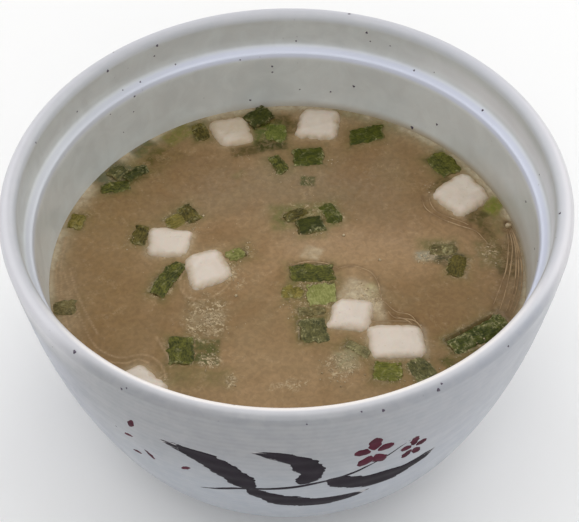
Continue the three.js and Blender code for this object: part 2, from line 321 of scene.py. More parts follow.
soft_clouds = cloud_group()
iron_specks = speck_group()


def clouds(tree, place, scale, tear=0.4):
    """The soft clouds at one scale."""
    wanted = {"Vector": place, "Scale": scale, "Tear": tear}
    return put(tree, "ShaderNodeGroup", node_tree=soft_clouds, inputs=wanted).outputs[0]


def specks(tree, place, scale, share, size):
    """The iron specks at one scale."""
    wanted = {"Vector": place, "Scale": scale, "Share": share, "Size": size}
    return put(tree, "ShaderNodeGroup", node_tree=iron_specks, inputs=wanted).outputs[0]


def outer_glaze(tree, across, height):
    """The tone outside, which greys upwards, takes painted light towards the right and is cool at the
    left.
    """
    tone = blend(tree, ramp(tree, height, *GREYING_UP), GLAZE_LOW, GLAZE_HIGH)
    # Painted light: paler and bluer towards the right of the outside.
    tone = blend(tree, product(tree, ramp(tree, across, *LIT_OUTSIDE_ACROSS), 0.62), tone, GLAZE_LIT_OUTSIDE)
    cool = product(tree, ramp(tree, across, *COOLING, 0.7, 0), ramp(tree, height, *COOL_BELOW, 1, 0))
    return blend(tree, cool, tone, GLAZE_LEFT)


def inner_glaze(tree, place, across, height):
    """The tone inside, with painted light at the right and above the ledge, shaded by the lip and
    stained by the soup.
    """
    tone = blend(tree, clouds(tree, place, 140, 0.8), GLAZE_INSIDE, GLAZE_CLOUDED)
    # Painted light on the inner wall towards the right.
    tone = blend(tree, product(tree, ramp(tree, across, *LIT_INSIDE_ACROSS), 0.32), tone, GLAZE_LIT_INSIDE)
    # Painted light on the wall between the ledge and the lip at the right.
    upper_light = product(tree, ramp(tree, across, *LIT_UPPER_ACROSS), ramp(tree, height, *LIT_UPPER_ABOVE))
    upper_light = product(tree, upper_light, ramp(tree, height, *LIT_UPPER_BELOW, 1, 0))
    tone = blend(tree, product(tree, upper_light, 0.85), tone, GLAZE_LIT_UPPER_WALL)
    tone = blend(tree, product(tree, ramp(tree, height, *SHADED_ABOVE), 0.8), tone, GLAZE_SHADED)
    tinted = ramp(tree, height, *SOAKED_BELOW, 1, 0)
    tinted = product(tree, tinted, ramp(tree, across, *SOAKING, 0, 0.45))
    tone = blend(tree, tinted, tone, SOUP_STAIN)
    stained = ramp(tree, height, SOUP_LEVEL, SOUP_LEVEL + STAIN_HIGH, 1, 0)
    stained = product(tree, stained, ramp(tree, across, *STAINING, 0.15, 1))
    return blend(tree, stained, tone, SOUP_STAIN)


def lip_and_ledge_tone(tree, across, depth, height):
    """The tone where the glaze has run thin, on the lip and on the ledge, lighter to the right as
    painted light and darker on the lip at the back as painted shade.
    """
    lip = blend(tree, ramp(tree, across, *LIP_ACROSS), LIP_LEFT, LIP_RIGHT)
    # Painted shade: the lip darker towards the back.
    lip = blend(tree, ramp(tree, depth, *LIP_BACKWARDS), lip, LIP_SHADED_BACK)
    # Painted light: the ledge lighter and bluer to the right.
    ledge = blend(tree, ramp(tree, across, *LEDGE_ACROSS), LEDGE_LEFT, LEDGE_LIT_RIGHT)
    return blend(tree, ramp(tree, height, *LEDGE_TO_LIP), ledge, lip)


def glaze():
    """The glaze: greyer outside, and a cold white over the edges, partly from thin glaze and partly
    as painted reflection, painted highlight and painted light.
    """
    material, tree, shader, place = surface("pale_glaze", IOR=1.5, Coat_Weight=0.2, Coat_Roughness=0.15)
    across, depth, height = put(tree, "ShaderNodeSeparateXYZ", {"Vector": place}).outputs
    outside = attribute(tree, "outside")
    inner = inner_glaze(tree, place, across, height)
    tone = blend(tree, outside, inner, outer_glaze(tree, across, height))
    tone = blend(tree, product(tree, clouds(tree, place, 38), 0.14), tone, MOTTLE_BROAD)
    tone = blend(tree, product(tree, clouds(tree, place, 330), 0.1), tone, MOTTLE_FINE)
    # The thin mark is partly thin glaze and partly painted reflection on the lip and painted light on
    # the ledge.
    tone = blend(tree, attribute(tree, "thin"), tone, lip_and_ledge_tone(tree, across, depth, height))
    # A painted highlight along the inner edge of the lip at the front.
    tone = blend(tree, attribute(tree, "lip_highlight"), tone, LIP_HIGHLIGHT)
    wanted = {"Vector": place, "Scale": 170.0, "Distortion": 2.4, "Detail": 3.0}
    rings = put(tree, "ShaderNodeTexWave", wanted, bands_direction="Z")
    ringed = product(tree, product(tree, rings.outputs["Fac"], 0.04), outside)
    tone = blend(tree, ringed, tone, RING_TONE)
    # Bold specks are scattered only where the raised ones are few: outside at the back, and inside
    # at the front.
    facing = reckon(tree, "MULTIPLY_ADD", outside, 2.0, -1.0)
    away = ramp(tree, product(tree, facing, depth), *TURNING_AWAY)
    bold = product(tree, specks(tree, place, 240, 0.34, 0.12), away)
    fine = product(tree, specks(tree, place, 330, 0.24, 0.09), ramp(tree, away, 0, 1, 0.25, 0.55))
    tone = blend(tree, reckon(tree, "MAXIMUM", bold, fine), tone, GLAZE_IRON)
    rough = ramp(tree, clouds(tree, place, 120), 0, 1, 0.3, 0.4)
    peel = put(tree, "ShaderNodeTexNoise", {"Vector": place, "Scale": 420.0, "Detail": 2.0})
    uneven = blend(tree, 0.6, rings.outputs["Color"], peel.outputs["Color"])
    normal = relief(tree, uneven, 0.13, PEEL_DEEP)
    feed(tree, shader, Base_Color=tone, Roughness=rough, Normal=normal)
    return material


def bare_clay():
    """The clay of the foot ring, gritty and freckled with iron."""
    material, tree, shader, place = surface("bare_clay", Roughness=0.85)
    tone = blend(tree, clouds(tree, place, 160), CLAY_LIGHT, CLAY_DARK)
    tone = blend(tree, specks(tree, place, 260, 0.3, 0.12), tone, CLAY_IRON)
    grit = put(tree, "ShaderNodeTexNoise", {"Vector": place, "Scale": 1800.0, "Detail": 3.0})
    feed(tree, shader, Base_Color=tone, Normal=relief(tree, grit.outputs[0], 0.4, GRIT_DEEP))
    return material


outer_line = smooth_line(OUTER_WALL, WALL_STEPS)
inner_line = smooth_line(INNER_WALL, WALL_STEPS)


def throwing(angle, height):
    """How far the outside stands out at a place, by the rings of throwing and a slow wobble."""
    rings = np.sin(2 * np.pi * height / RIDGE_SPACING + RIDGE_UNEVEN * np.sin(angle + RIDGE_START))
    sway = WALL_SWAY * np.sin(2 * angle + SWAY_CLIMB * height)
    above = np.clip((height - RIDGE_LOW) / RIDGE_FADE, 0, 1)
    below = np.clip((RIDGE_HIGH - height) / RIDGE_FADE, 0, 1)
    return RIDGE_DEPTH * (above * below) * (rings + sway)


def bowl_profile():
    """The profile from the middle of the recess round to the middle of the floor: for each place
    its radius, its height, 1 if it is outside, and how thin the glaze is there, a mark that also
    carries the painted reflection on the lip and the painted light on the ledge."""
    foot = [
        smooth_line(FOOT_RECESS, RECESS_STEPS)[1:],
        arc(FOOT_INNER + FOOT_ROUNDING, FOOT_ROUNDING, FOOT_ROUNDING, 195, 270, FOOT_STEPS),
        arc(FOOT_OUTER - FOOT_ROUNDING, FOOT_ROUNDING, FOOT_ROUNDING, 270, 360, FOOT_STEPS),
        np.array(FOOT_SIDE) * MM,
    ]
    turns = np.linspace(LIP_TURNS[0], LIP_TURNS[-1], LIP_STEPS)
    lip = arc(LIP_CIRCLE, BOWL_HEIGHT - LIP_RADIUS, LIP_RADIUS, turns[0], turns[-1], LIP_STEPS)
    ledge = smooth_line(LEDGE, LEDGE_STEPS)[::-1]
    parts = [(line, 1, 0) for line in (*foot, outer_line)]
    parts.append((lip, np.interp(turns, LIP_OVER, (1, 0)), np.interp(turns, LIP_TURNS, LIP_THIN_AND_SHEEN)))
    parts.append((np.array(RIM_WALL) * MM, 0, 0))
    parts.append((ledge, 0, np.clip((LEDGE_THIN_AND_LIT - ledge[:, 0]) / LEDGE_FADE, 0, 1)))
    parts.append((inner_line[:0:-1], 0, 0))
    return np.concatenate([
        np.column_stack([line, np.broadcast_to(outside, len(line)), np.broadcast_to(thin, len(line))])
        for line, outside, thin in parts
    ])


def towards_front(angles, turn, ends, fade):
    """1 for the angles at the front of the bowl, fading to 0 at its sides."""
    return np.clip((np.cos(angles - np.radians(turn)) - ends) / fade, 0, 1)


def bowl_mesh():
    """The profile turned round, and for each place how far outside it is, how thin its glaze is with
    the painted reflection on the lip, and how strong the painted highlight on the lip is.
    """
    profile = bowl_profile()
    angles = np.linspace(0, 2 * np.pi, BOWL_AROUND, endpoint=False)
    radius, height, outside, thin = (
        np.repeat(column[:, None], BOWL_AROUND, axis=1) for column in profile.T
    )
    radius = radius + throwing(angles, height) * outside
    rings = np.stack([radius * np.sin(angles), -radius * np.cos(angles), height], axis=-1)
    middles = np.array([(0, 0, FOOT_RECESS[0][1]), (0, 0, INNER_WALL[0][1])]) * MM
    vertices = np.concatenate([rings.reshape(-1, 3), middles])
    under, floor = len(vertices) - 2, len(vertices) - 1
    faces = []
    for row in range(len(profile) - 1):
        for step in range(BOWL_AROUND):
            a = row * BOWL_AROUND + step
            b = row * BOWL_AROUND + (step + 1) % BOWL_AROUND
            faces.append((a, b, b + BOWL_AROUND, a + BOWL_AROUND))
    last = (len(profile) - 1) * BOWL_AROUND
    for step in range(BOWL_AROUND):
        following = (step + 1) % BOWL_AROUND
        faces.append((under, following, step))
        faces.append((floor, last + step, last + following))
    up, out = profile[:, 1] - BOWL_HEIGHT + LIP_RADIUS, profile[:, 0] - LIP_CIRCLE
    on_lip = np.hypot(up, out) < 1.01 * LIP_RADIUS
    turn = np.degrees(np.arctan2(up, out))[on_lip]
    # At the front the painted reflection moves to the inner side of the lip, with a painted highlight
    # along its edge.
    front_sheen = np.interp(turn, LIP_TURNS, LIP_SHEEN_FRONT)[:, None]
    thin[on_lip] += (front_sheen - thin[on_lip]) * towards_front(angles, *SHEEN_FRONT)
    lip_highlight = np.zeros(thin.shape)
    highlight_share = np.interp(turn, HIGHLIGHT_TURNS, HIGHLIGHT_STRENGTH)[:, None]
    lip_highlight[on_lip] = highlight_share * towards_front(angles, *HIGHLIGHT_FRONT)
    marks = {
        "outside": np.append(outside, (1, 0)),
        "thin": np.append(thin, (0, 0)),
        "lip_highlight": np.append(lip_highlight, (0, 0)),
    }
    return vertices, faces, marks


vertices, faces, marks = bowl_mesh()
bowl = mesh_object("stoneware_bowl", vertices, faces, [glaze(), bare_clay()])
for name, values in marks.items():
    mark(bowl.data, name, values)
for face in bowl.data.polygons:
    wiped = face.center.z < FOOT_WIPED and FOOT_INNER < face.center.xy.length < FOOT_OUTER
    face.material_index = int(wiped)
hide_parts("bowl")
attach(bowl, "root")


# ---------------------------------------------------------------------------------------------
# The boldest iron specks. Where a coarse grain of iron has melted out of the clay, it stands on
# the glaze as a flat, uneven, dark dot of up to a millimetre. They lie singly on the lip and on
# the walls, while the finer specks are part of the glaze.
# ---------------------------------------------------------------------------------------------

# Each speck: the turn from the front in degrees, its height and its radius in millimetres.
SPECKS_OUTSIDE = [
    (-44, 75.6, 0.4), (-32, 74.3, 0.3), (-31, 75, 0.2), (-38, 52, 0.3), (-51, 70.5, 0.15),
    (28, 74.9, 0.4), (29, 75.6, 0.25), (17, 74.7, 0.35), (13, 75.4, 0.2), (3, 74.3, 0.2),
    (45, 74.7, 0.25), (-139, 75.8, 0.2),
]
SPECKS_INSIDE = [
    (160, 73, 0.35), (159, 70.5, 0.22), (177, 67.7, 0.24), (154, 70.7, 0.2), (147, 66.3, 0.26),
    (142, 67.7, 0.16), (126, 66.3, 0.3), (162, 57, 0.35), (168, 54, 0.25), (176, 54, 0.2),
    (138, 54.5, 0.32), (145, 49.8, 0.45), (101, 67.4, 0.2), (-149, 74.2, 0.35), (-148, 71.3, 0.25),
    (-135, 74.2, 0.38), (-140, 64.2, 0.28), (-139, 59.8, 0.2), (-132, 63.5, 0.18),
    (-124, 69.2, 0.25), (-177, 61.6, 0.28), (-177, 59.7, 0.25), (-107, 74.6, 0.25),
    (-171, 51.3, 0.28), (-143, 66.2, 0.24), (-153, 66.6, 0.22), (-169, 64.6, 0.2),
    (-138, 66.4, 0.18), (100, 59.8, 0.34), (82, 75.5, 0.3), (86, 58.5, 0.32), (77, 64.4, 0.18),
    (-135, 55.5, 0.16),
]
SPECK_LIFT = 0.05 * MM  # by which the middle of a speck stands out
SPECK_EDGE = 0.01 * MM  # by which its edge does
SPECK_ROOT = 0.3 * MM  # how deep the point lies that closes it inside the wall
SPECK_SIDES = 12
SPECK_THREE_SIDED = 0.2  # how far its outline strays from a circle, in radii
SPECK_OVAL = 0.1
SPECK_TONE = colour(84, 74, 90)
CLEAR_OF_BOWL = 100 * MM  # radius from which a ray meets the outside of the bowl


def speck_mesh():
    """Flat, uneven dots that lie on the wall, each one closed by a point inside it."""
    wall = BVHTree.FromPolygons(vertices.tolist(), faces)
    places, sides = [], []
    for spots, start, ahead in ((SPECKS_OUTSIDE, CLEAR_OF_BOWL, -1), (SPECKS_INSIDE, 0, 1)):
        for turn, up, radius in spots:
            way = Vector((math.sin(math.radians(turn)), -math.cos(math.radians(turn)), 0))
            hit, out, *_ = wall.ray_cast(way * start + Vector((0, 0, up * MM)), way * ahead)
            right = out.cross(Vector((0, 0, 1))).normalized()
            upward = right.cross(out)
            first = len(places)
            places += [hit + out * SPECK_LIFT, hit - out * SPECK_ROOT]
            for k in range(SPECK_SIDES):
                bearing = 2 * math.pi * k / SPECK_SIDES
                uneven = 1 + SPECK_THREE_SIDED * math.sin(3 * bearing + turn)
                reach = radius * MM * (uneven + SPECK_OVAL * math.sin(2 * bearing + up))
                spoke = math.cos(bearing) * right + math.sin(bearing) * upward
                places.append(hit + out * SPECK_EDGE + reach * spoke)
                a, b = first + 2 + k, first + 2 + (k + 1) % SPECK_SIDES
                sides += [(first, b, a), (first + 1, a, b)]
    return places, sides


iron = surface("iron_speck", Base_Color=SPECK_TONE, Roughness=0.4)[0]
speck_dots = mesh_object("iron_specks", *speck_mesh(), [iron])
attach(speck_dots, "root")


# ---------------------------------------------------------------------------------------------
# The brushwork. A leafy sprig with two blossoms, painted freehand on the front of the bowl in an
# iron charcoal and a maroon before the last firing. The colour lies a hair proud of the glaze.
# ---------------------------------------------------------------------------------------------

PAINT_LIFT = 0.035 * MM
PAINT_EDGE = 0.4  # how deep the sides of a stroke dip into the glaze, in lifts
PAINT_ROOT = -0.3 * MM  # the underside of the colour, inside the wall
PAINT_GIRTH = 61 * MM  # radius of the wall where the sprig is, to turn a width into an angle
STROKE_ENDS = (0.004, 0.996)  # how near its two points a stroke's skin begins and ends
STROKE_BLUNT = 0.8  # the lower, the blunter its ends
STROKE_WAVER = 0.08  # of its width
STROKE_WAVERS = 17  # how often it wavers, in radians from end to end
# The load of the brush at the start of a stroke, and what it has lost at the end and at the sides.
BRUSH_FULL = 1.05
BRUSH_SPENT = 0.62
BRUSH_SIDES = 0.1
# Each stroke: its line as (across, up) places in millimetres, and its greatest width.
SPRIG = [
    ([(-22, 35), (-12, 40.5), (2, 44), (15, 49), (27, 58)], 1.4),
    ([(-9, 41), (-13, 49), (-19, 55), (-28, 57.5)], 8.5),
    ([(-10, 41), (-2, 34.5), (8, 32), (19, 34.5)], 8),
    ([(2, 45), (4.5, 52), (0, 59), (-8, 61.5)], 6.5),
    ([(8, 46.5), (16, 41.5), (26, 41), (34, 45.5)], 8),
]
# Each loose petal: its place across and up, and its turn.
PETALS = [(-35.5, 57, 60), (-38.5, 50.5, 20), (-34, 47, -50), (-38.5, 42, 15), (-25, 44.5, 35)]
PETAL_LONG = 3.0
PETAL_WIDE = 1.6
# Each blossom: its place across and up, and its radius, in which its petals are measured.
BLOSSOMS = [(17.5, 56.5, 4.4), (27, 52.5, 3.2)]
BLOSSOM_TURNS = (18, 90, 162, 234, 306)
BLOSSOM_HEART = 0.2
BLOSSOM_LONG = 0.82
BLOSSOM_WIDE = 0.8
UPRIGHT = 1.6  # how much taller than wide the blossoms are drawn
CHARCOAL = (colour(26, 19, 28), colour(38, 30, 40))
MAROON = (colour(64, 12, 32), colour(88, 24, 46))
GLAZE_THROUGH = colour(186, 184, 186)  # where the brush ran dry


def brush_colour(name, wet, dry):
    """A slip that thins to streaks of bare glaze where the brush ran dry."""
    material, tree, shader, place = surface(name, Roughness=0.6, Specular_IOR_Level=0.12)
    stretch = put(tree, "ShaderNodeMapping", {"Vector": place, "Scale": (420.0, 420.0, 1500.0)})
    hair = put(tree, "ShaderNodeTexNoise", {"Vector": stretch.outputs[0], "Scale": 1.0, "Detail": 2.0})
    bare = reckon(tree, "SUBTRACT", hair.outputs[0], attribute(tree, "load"))
    tone = blend(tree, clouds(tree, place, 260), wet, dry)
    tone = blend(tree, ramp(tree, bare, -0.06, 0.1), tone, GLAZE_THROUGH)
    feed(tree, shader, Base_Color=tone)
    return material


def stroke(path, width, body=0.75, across=8, along=44):
    """One brush mark as a closed skin on the wall: its places, its faces and its load of colour."""
    line = smooth_line(path, along)
    run = np.gradient(line, axis=0)
    run /= np.linalg.norm(run, axis=1)[:, None]
    part = np.linspace(0, 1, along)
    swell = np.sin(np.pi * np.clip(part, *STROKE_ENDS) ** body) ** STROKE_BLUNT
    waver = STROKE_WAVER * np.sin(STROKE_WAVERS * part + 3 * line[0, 0] / MM)
    half = width * MM / 2 * swell * (1 + waver)
    places, faces, loads = [], [], []
    for layer in range(2):
        for i in range(along):
            for j in range(across + 1):
                side = 2 * j / across - 1
                flat = line[i] + np.array([-run[i, 1], run[i, 0]]) * half[i] * side
                angle, height = flat[0] / PAINT_GIRTH, flat[1]
                crown = (1 + PAINT_EDGE) * (1 - side**4) - PAINT_EDGE
                lift = PAINT_LIFT * crown if layer else PAINT_ROOT
                wall = np.interp(height, outer_line[:, 1], outer_line[:, 0])
                reach = wall + throwing(angle, height) + lift
                places.append((reach * math.sin(angle), -reach * math.cos(angle), height))
                loads.append(BRUSH_FULL - BRUSH_SPENT * part[i] ** 3 - BRUSH_SIDES * side**2)
    rows = across + 1
    top = along * rows
    for i in range(along - 1):
        for j in range(across):
            a = i * rows + j
            faces.append((a, a + rows, a + rows + 1, a + 1))
            faces.append((top + a, top + a + 1, top + a + rows + 1, top + a + rows))
    for i in range(along - 1):
        a, b = i * rows, i * rows + across
        faces.append((a, top + a, top + a + rows, a + rows))
        faces.append((b, b + rows, top + b + rows, top + b))
    for j in range(across):
        end = (along - 1) * rows + j
        faces.append((j, j + 1, top + j + 1, top + j))
        faces.append((end, top + end, top + end + 1, end + 1))
    return places, faces, loads


def brushwork(name, strokes, material):
    """Joins some strokes into one piece that carries their load of colour."""
    places, faces, loads = [], [], []
    for made, sides, load in strokes:
        faces += [tuple(corner + len(places) for corner in side) for side in sides]
        places += made
        loads += load
    piece = mesh_object(name, places, faces, [material])
    mark(piece.data, "load", loads)
    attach(piece, "root")


def aim(turn, far):
    """A step across and up the wall, in the upright proportions of the blossoms."""
    return np.array([math.cos(math.radians(turn)), UPRIGHT * math.sin(math.radians(turn))]) * far


def petal(across, up, turn, long, wide):
    """A round-ended dab, laid in one direction."""
    start = np.array([across, up])
    path = [start, start + aim(turn, long) / 2, start + aim(turn, long)]
    return stroke(path, wide, body=1.0, across=6, along=14)


leaves = [stroke(path, width) for path, width in SPRIG]
brushwork("charcoal_sprig", leaves, brush_colour("charcoal_slip", *CHARCOAL))
dabs = [petal(across, up, turn, PETAL_LONG, PETAL_WIDE) for across, up, turn in PETALS]
for across, up, radius in BLOSSOMS:
    for turn in BLOSSOM_TURNS:
        heart = (across, up) + aim(turn, radius) * BLOSSOM_HEART
        dabs.append(petal(*heart, turn, radius * BLOSSOM_LONG, radius * BLOSSOM_WIDE))
brushwork("maroon_blossom", dabs, brush_colour("maroon_slip", *MAROON))


# ---------------------------------------------------------------------------------------------
# The broth. Cloudy brown stock with bean paste, filled up to a finger below the ledge. It climbs a
# little at the wall and at each piece, runs thin and pale over the sloping wall, where it also
# takes painted light against the shade of the wall, and lets what has sunk just under it show as
# soft patches.
# ---------------------------------------------------------------------------------------------

BROTH_CELLS = 260  # along each side of the net that the surface is woven from
BROTH_RINGS = 10  # down the wall
INTO_WALL = 0.15 * MM
# How high the broth climbs at the wall, a cube and a slice, and from how far off.
CLIMB_WALL = 0.35 * MM
CLIMB_WALL_REACH = 0.9 * MM
CLIMB_CUBE = 0.25 * MM
CLIMB_SLICE = 0.06 * MM
CLIMB_REACH = 0.5 * MM
# How far it dips out of sight inside a cube or a slice, and how far within its edge.
CUBE_DIP = 2.5 * MM
CUBE_DIP_MARGIN = 0.8 * MM
SLICE_DIP = 0.9 * MM
SLICE_DIP_MARGIN = 0.45 * MM
UPPER_SIDE = 0.6 * MM  # how far under the level a piece's upper side may begin
WALL_BELOW = 0.5 * MM  # how far under the level the rings down the wall begin
WALL_WITHOUT = 2 * MM  # radius of the middle of the floor that they leave out
PATCH_SHARP = 1.3  # the higher, the firmer the edge of a patch
HALO_SHARP = 1.5  # and of what shows round a piece

# The tones that show through, and over how far each one fades. Where the wall slopes under a thin
# edge of broth, made paler as painted light against the shade of the wall:
MARGIN_TONE = colour(142, 130, 101)
MARGIN_LIT_EDGE = colour(172, 161, 136)
MARGIN_LEFT = colour(172, 157, 130)
MARGIN_WIDE = 3.2 * MM
MARGIN_LEFT_FADE = 40 * MM  # how far left of the middle it has fully set in
# Beside the cubes, and beside and close to the slices:
CUBE_HALO = colour(156, 137, 107)
CUBE_HALO_WIDE = 1.1 * MM
SLICE_HALO = colour(97, 89, 44)
SLICE_HALO_WIDE = 1.7 * MM
SLICE_SHADE = colour(68, 62, 28)
SLICE_SHADE_WIDE = 0.5 * MM
# Painted shade along the threads, as if they lay in a darker furrow, and the same, with a pale
# line, in place of the faint ones:
THREAD_SHADE = colour(90, 66, 37)
FAINT_THREAD_SHADE = colour(100, 76, 44)
FAINT_THREAD = colour(170, 144, 110)
THREAD_SHADE_WIDE = 0.75 * MM
THREAD_NEAR = 3 * MM  # past this a thread has no effect
# The broth itself, its fine flecks, and its froth, shaded and lit:
STOCK_DARK = colour(119, 91, 56)
STOCK_LIGHT = colour(125, 104, 72)
PASTE_TONE = colour(154, 126, 92)
FLECK_TONE = colour(168, 146, 114)
FROTH_SHADE = colour(92, 76, 46)
FROTH_TONE = colour(184, 164, 130)
FROTH_TORN = 2.2 * MM  # by which its domes are out of place
FROTH_DEEP = 0.12 * MM  # by which they stand up
# The froth that clings to every piece but those far back:
FROTH_CLINGS = 0.32
FROTH_CLINGS_WIDE = 1.4 * MM
FROTH_CLINGS_BACK = 34 * MM
FROTH_CLINGS_FADE = 14 * MM

# Curd and several greens, as they look through the broth:
CURD_BELOW = colour(180, 166, 138)
OLIVE_BELOW = colour(70, 60, 16)
MOSS_BELOW = colour(80, 78, 36)
FRESH_BELOW = colour(112, 108, 42)
VEIL_BELOW = colour(108, 98, 58)
MIST_BELOW = colour(112, 113, 96)
# What lies just under the surface: its middle, half length, half width and turn, how soft its
# edge is, in millimetres and degrees, its colour, and how strongly it shows.
SUNKEN = [
    (2, 28, 26, 9, 0, 8, colour(134, 116, 92), 0.4),
    (16, 10, 16, 5, 0, 6, colour(156, 132, 106), 0.3),
    (13, 24, 6, 3, 0, 4, colour(112, 95, 66), 0.45),
    (-45, -2, 8, 24, 0, 7, colour(126, 98, 56), 0.42),
    (45, -9, 6, 8, 0, 6, colour(122, 97, 58), 0.35),
    (-28.2, 47.6, 3.9, 2.2, 41, 0.8, FRESH_BELOW, 0.95),
    (-37, 42.8, 3.4, 1.9, 52, 0.6, MIST_BELOW, 0.95),
    (-36.6, 42.4, 3, 1.4, 52, 0.9, MOSS_BELOW, 0.9),
    (-34.3, 40.2, 3, 1.6, 55, 0.7, OLIVE_BELOW, 1),
    (-32, 44, 14, 2.4, 43, 1.8, VEIL_BELOW, 0.55),
    (-31.5, 38.5, 5, 3, 43, 2, colour(92, 76, 34), 0.6),
    (-44.6, 33, 5, 3.8, 58, 0.9, colour(92, 90, 64), 1),
    (-38.6, 31.2, 3.4, 1, 28, 0.7, OLIVE_BELOW, 0.6),
    (-4.2, 48.4, 4.2, 4.6, 0, 1, colour(78, 84, 34), 0.95),
    (-3.5, 53, 5, 1.6, 0, 1, OLIVE_BELOW, 0.85),
    (1.6, 50, 1.8, 2.6, 0, 1, OLIVE_BELOW, 0.7),
    (5.6, 29.8, 1.7, 1.9, 86, 0.4, colour(72, 74, 36), 1),
    (17, 54.6, 4.4, 1.4, -17, 1.2, VEIL_BELOW, 0.65),
    (26.4, 50.6, 4, 1.4, -27, 1.2, VEIL_BELOW, 0.6),
    (51.5, 14, 4.5, 3.2, -60, 1.8, VEIL_BELOW, 0.7),
    (39.2, 28, 3.4, 1.2, 50, 0.8, OLIVE_BELOW, 0.8),
    (47.6, 16.8, 2.9, 1.7, 22, 0.8, OLIVE_BELOW, 0.85),
    (52.2, 19.8, 2.8, 2.2, 51, 0.8, colour(104, 106, 36), 1),
    (49.3, 11.7, 3.4, 1.7, -78, 1.2, OLIVE_BELOW, 0.75),
    (53, 1.6, 5.4, 2.4, -84, 1.4, OLIVE_BELOW, 0.85),
    (-19, -25.8, 3.9, 2.9, 89, 0.5, MOSS_BELOW, 0.95),
    (17.2, -8.4, 4, 3.2, -26, 1.7, colour(176, 163, 137), 0.85),
    (17.6, -6.6, 2.8, 1.6, -30, 1.5, CURD_BELOW, 0.5),
    (20.4, -7.6, 1.6, 2.4, 20, 0.6, colour(150, 140, 96), 0.5),
    (-53.2, -9, 9.5, 2.2, 104, 2, colour(152, 128, 96), 0.7),
    (21.6, -14.6, 1.5, 3.6, 8, 1, CURD_BELOW, 0.6),
    (13.4, -28.8, 2.9, 2.5, -77, 0.9, colour(138, 130, 98), 0.85),
    (-19.6, -15.6, 5, 6.6, 0, 1.4, colour(112, 98, 66), 0.45),
    (-19.5, -15.6, 3.9, 1.8, 2, 0.7, CURD_BELOW, 0.15),
    (6.1, 4.9, 2.2, 2.1, -23, 0.7, CURD_BELOW, 0.55),
    (-10.6, 41.2, 3.6, 1.8, 12, 0.9, OLIVE_BELOW, 0.8),
    (-3.6, 43.3, 4, 2.2, 10, 0.7, colour(58, 56, 12), 1),
    (-21.2, -33.2, 8, 2.6, -2, 2, VEIL_BELOW, 0.65),
    (4.4, 17.6, 8.4, 4.2, 4, 1.4, colour(100, 96, 50), 0.75),
    (1.2, 16.4, 2.6, 1.4, -30, 0.7, OLIVE_BELOW, 0.8),
    (9.6, 17.4, 2.6, 1.2, 60, 0.7, OLIVE_BELOW, 0.75),
    (6.4, 11, 3.4, 1.4, 0, 0.9, VEIL_BELOW, 0.6),
    (1.8, -5, 2.2, 5, 0, 1.4, VEIL_BELOW, 0.45),
    (36.4, 5.4, 4.4, 3.4, 0, 1.6, VEIL_BELOW, 0.7),
    (35, 3.4, 3.6, 1.5, 0, 0.8, colour(140, 136, 118), 0.8),
    (39.4, 2.4, 3.2, 2.6, -25, 0.7, colour(60, 58, 26), 1),
    (49.2, 3.6, 2.8, 4.6, 8, 1.4, colour(100, 90, 50), 0.75),
    (40.6, -28, 5.6, 2.3, 34, 0.8, colour(84, 76, 32), 1),
    (-12, 32.5, 1.8, 1, 40, 0.8, VEIL_BELOW, 0.5),
]
# Patches of fine froth: middle and half widths in millimetres, turn in degrees, and strength.
FROTH = [
    (-19.2, -15.6, 6, 7.4, 0, 0.78),
    (-18.4, -28.4, 3.4, 2.4, 0, 0.75),
    (-13.4, -34.6, 1.6, 2.8, 0, 0.8),
    (12.2, -30.6, 5, 4.6, 0, 0.6),
    (18.5, -9.5, 5.4, 3.8, -50, 0.8),
    (34.6, 3, 3.2, 1.7, 0, 0.8),
    (-43.9, 34, 3.2, 2.8, 50, 0.4),
    (49.5, 4, 3.6, 5.4, 10, 0.42),
    (5.6, 29, 2.2, 2.4, 0, 0.35),
    (7.5, -10, 7.2, 9, 0, 0.45),
    (25.5, -24.5, 9, 7.5, 0, 0.4),
    (-13.6, -1.5, 3.4, 6.5, 25, 0.55),
    (-19.6, -8.4, 6.2, 1.8, 10, 0.45),
    (40.6, -25.4, 7, 2.6, 36, 0.2),
    (-30, -33.5, 4, 2.4, 0, 0.5),
    (0, -36, 7, 2.4, 0, 0.45),
    (5, 20, 8, 3.4, 0, 0.45),
]
# The lines along which paste has drawn out into a thread, as (across, deep) places in millimetres.
THREADS = [
    [(34.2, 24), (35, 19.6), (38.2, 16.2), (42.3, 13.7), (46.6, 11.6), (48.5, 8.9), (50, 6)],
    [(36.6, 25.4), (36.2, 22), (37.6, 18.4), (40.7, 16.2), (43.6, 14.7), (46, 13)],
    [(10.5, -1), (15.5, 0.5), (20, -1.5), (21.8, -5), (22.4, -9.5), (24, -12.5), (26, -14.5),
     (29, -15.5), (31, -19)],
    [(23.5, -13.5), (25, -16), (28, -17), (30, -19.5)],
    [(24.5, -15.5), (27, -16.4), (30, -17.4), (31.6, -20.5), (31.4, -23.5)],
    [(54.8, 14.4), (56.1, 10.6), (56.8, 6), (57, -1.2), (56, -8.2), (54, -14), (52.2, -17.6)],
    [(54.6, 14), (55.3, 10), (55.3, 4.7), (53.7, -3.5), (51.9, -9.8), (50.2, -14.5), (49, -16.4)],
    [(54.8, 14), (56, 8), (55.9, 1.4), (54.6, -6.7), (52.5, -13), (51, -16.4)],
    [(54.8, 13.8), (56.3, 8.6), (56.4, 0.7), (55.3, -6.7), (53.3, -13), (51.4, -17)],
    [(54.4, 13.6), (54.6, 8), (53.4, -0.5), (51, -7.5), (48.4, -14)],
    [(53.5, 12), (54.5, 11.5), (55.5, 13.5)],
    [(1.5, 1.2), (5, 2.1), (9.5, 1.4), (12, -0.5)],
    [(17.5, -16.4), (20, -17.4), (24, -17.2), (29.5, -17.4)],
]
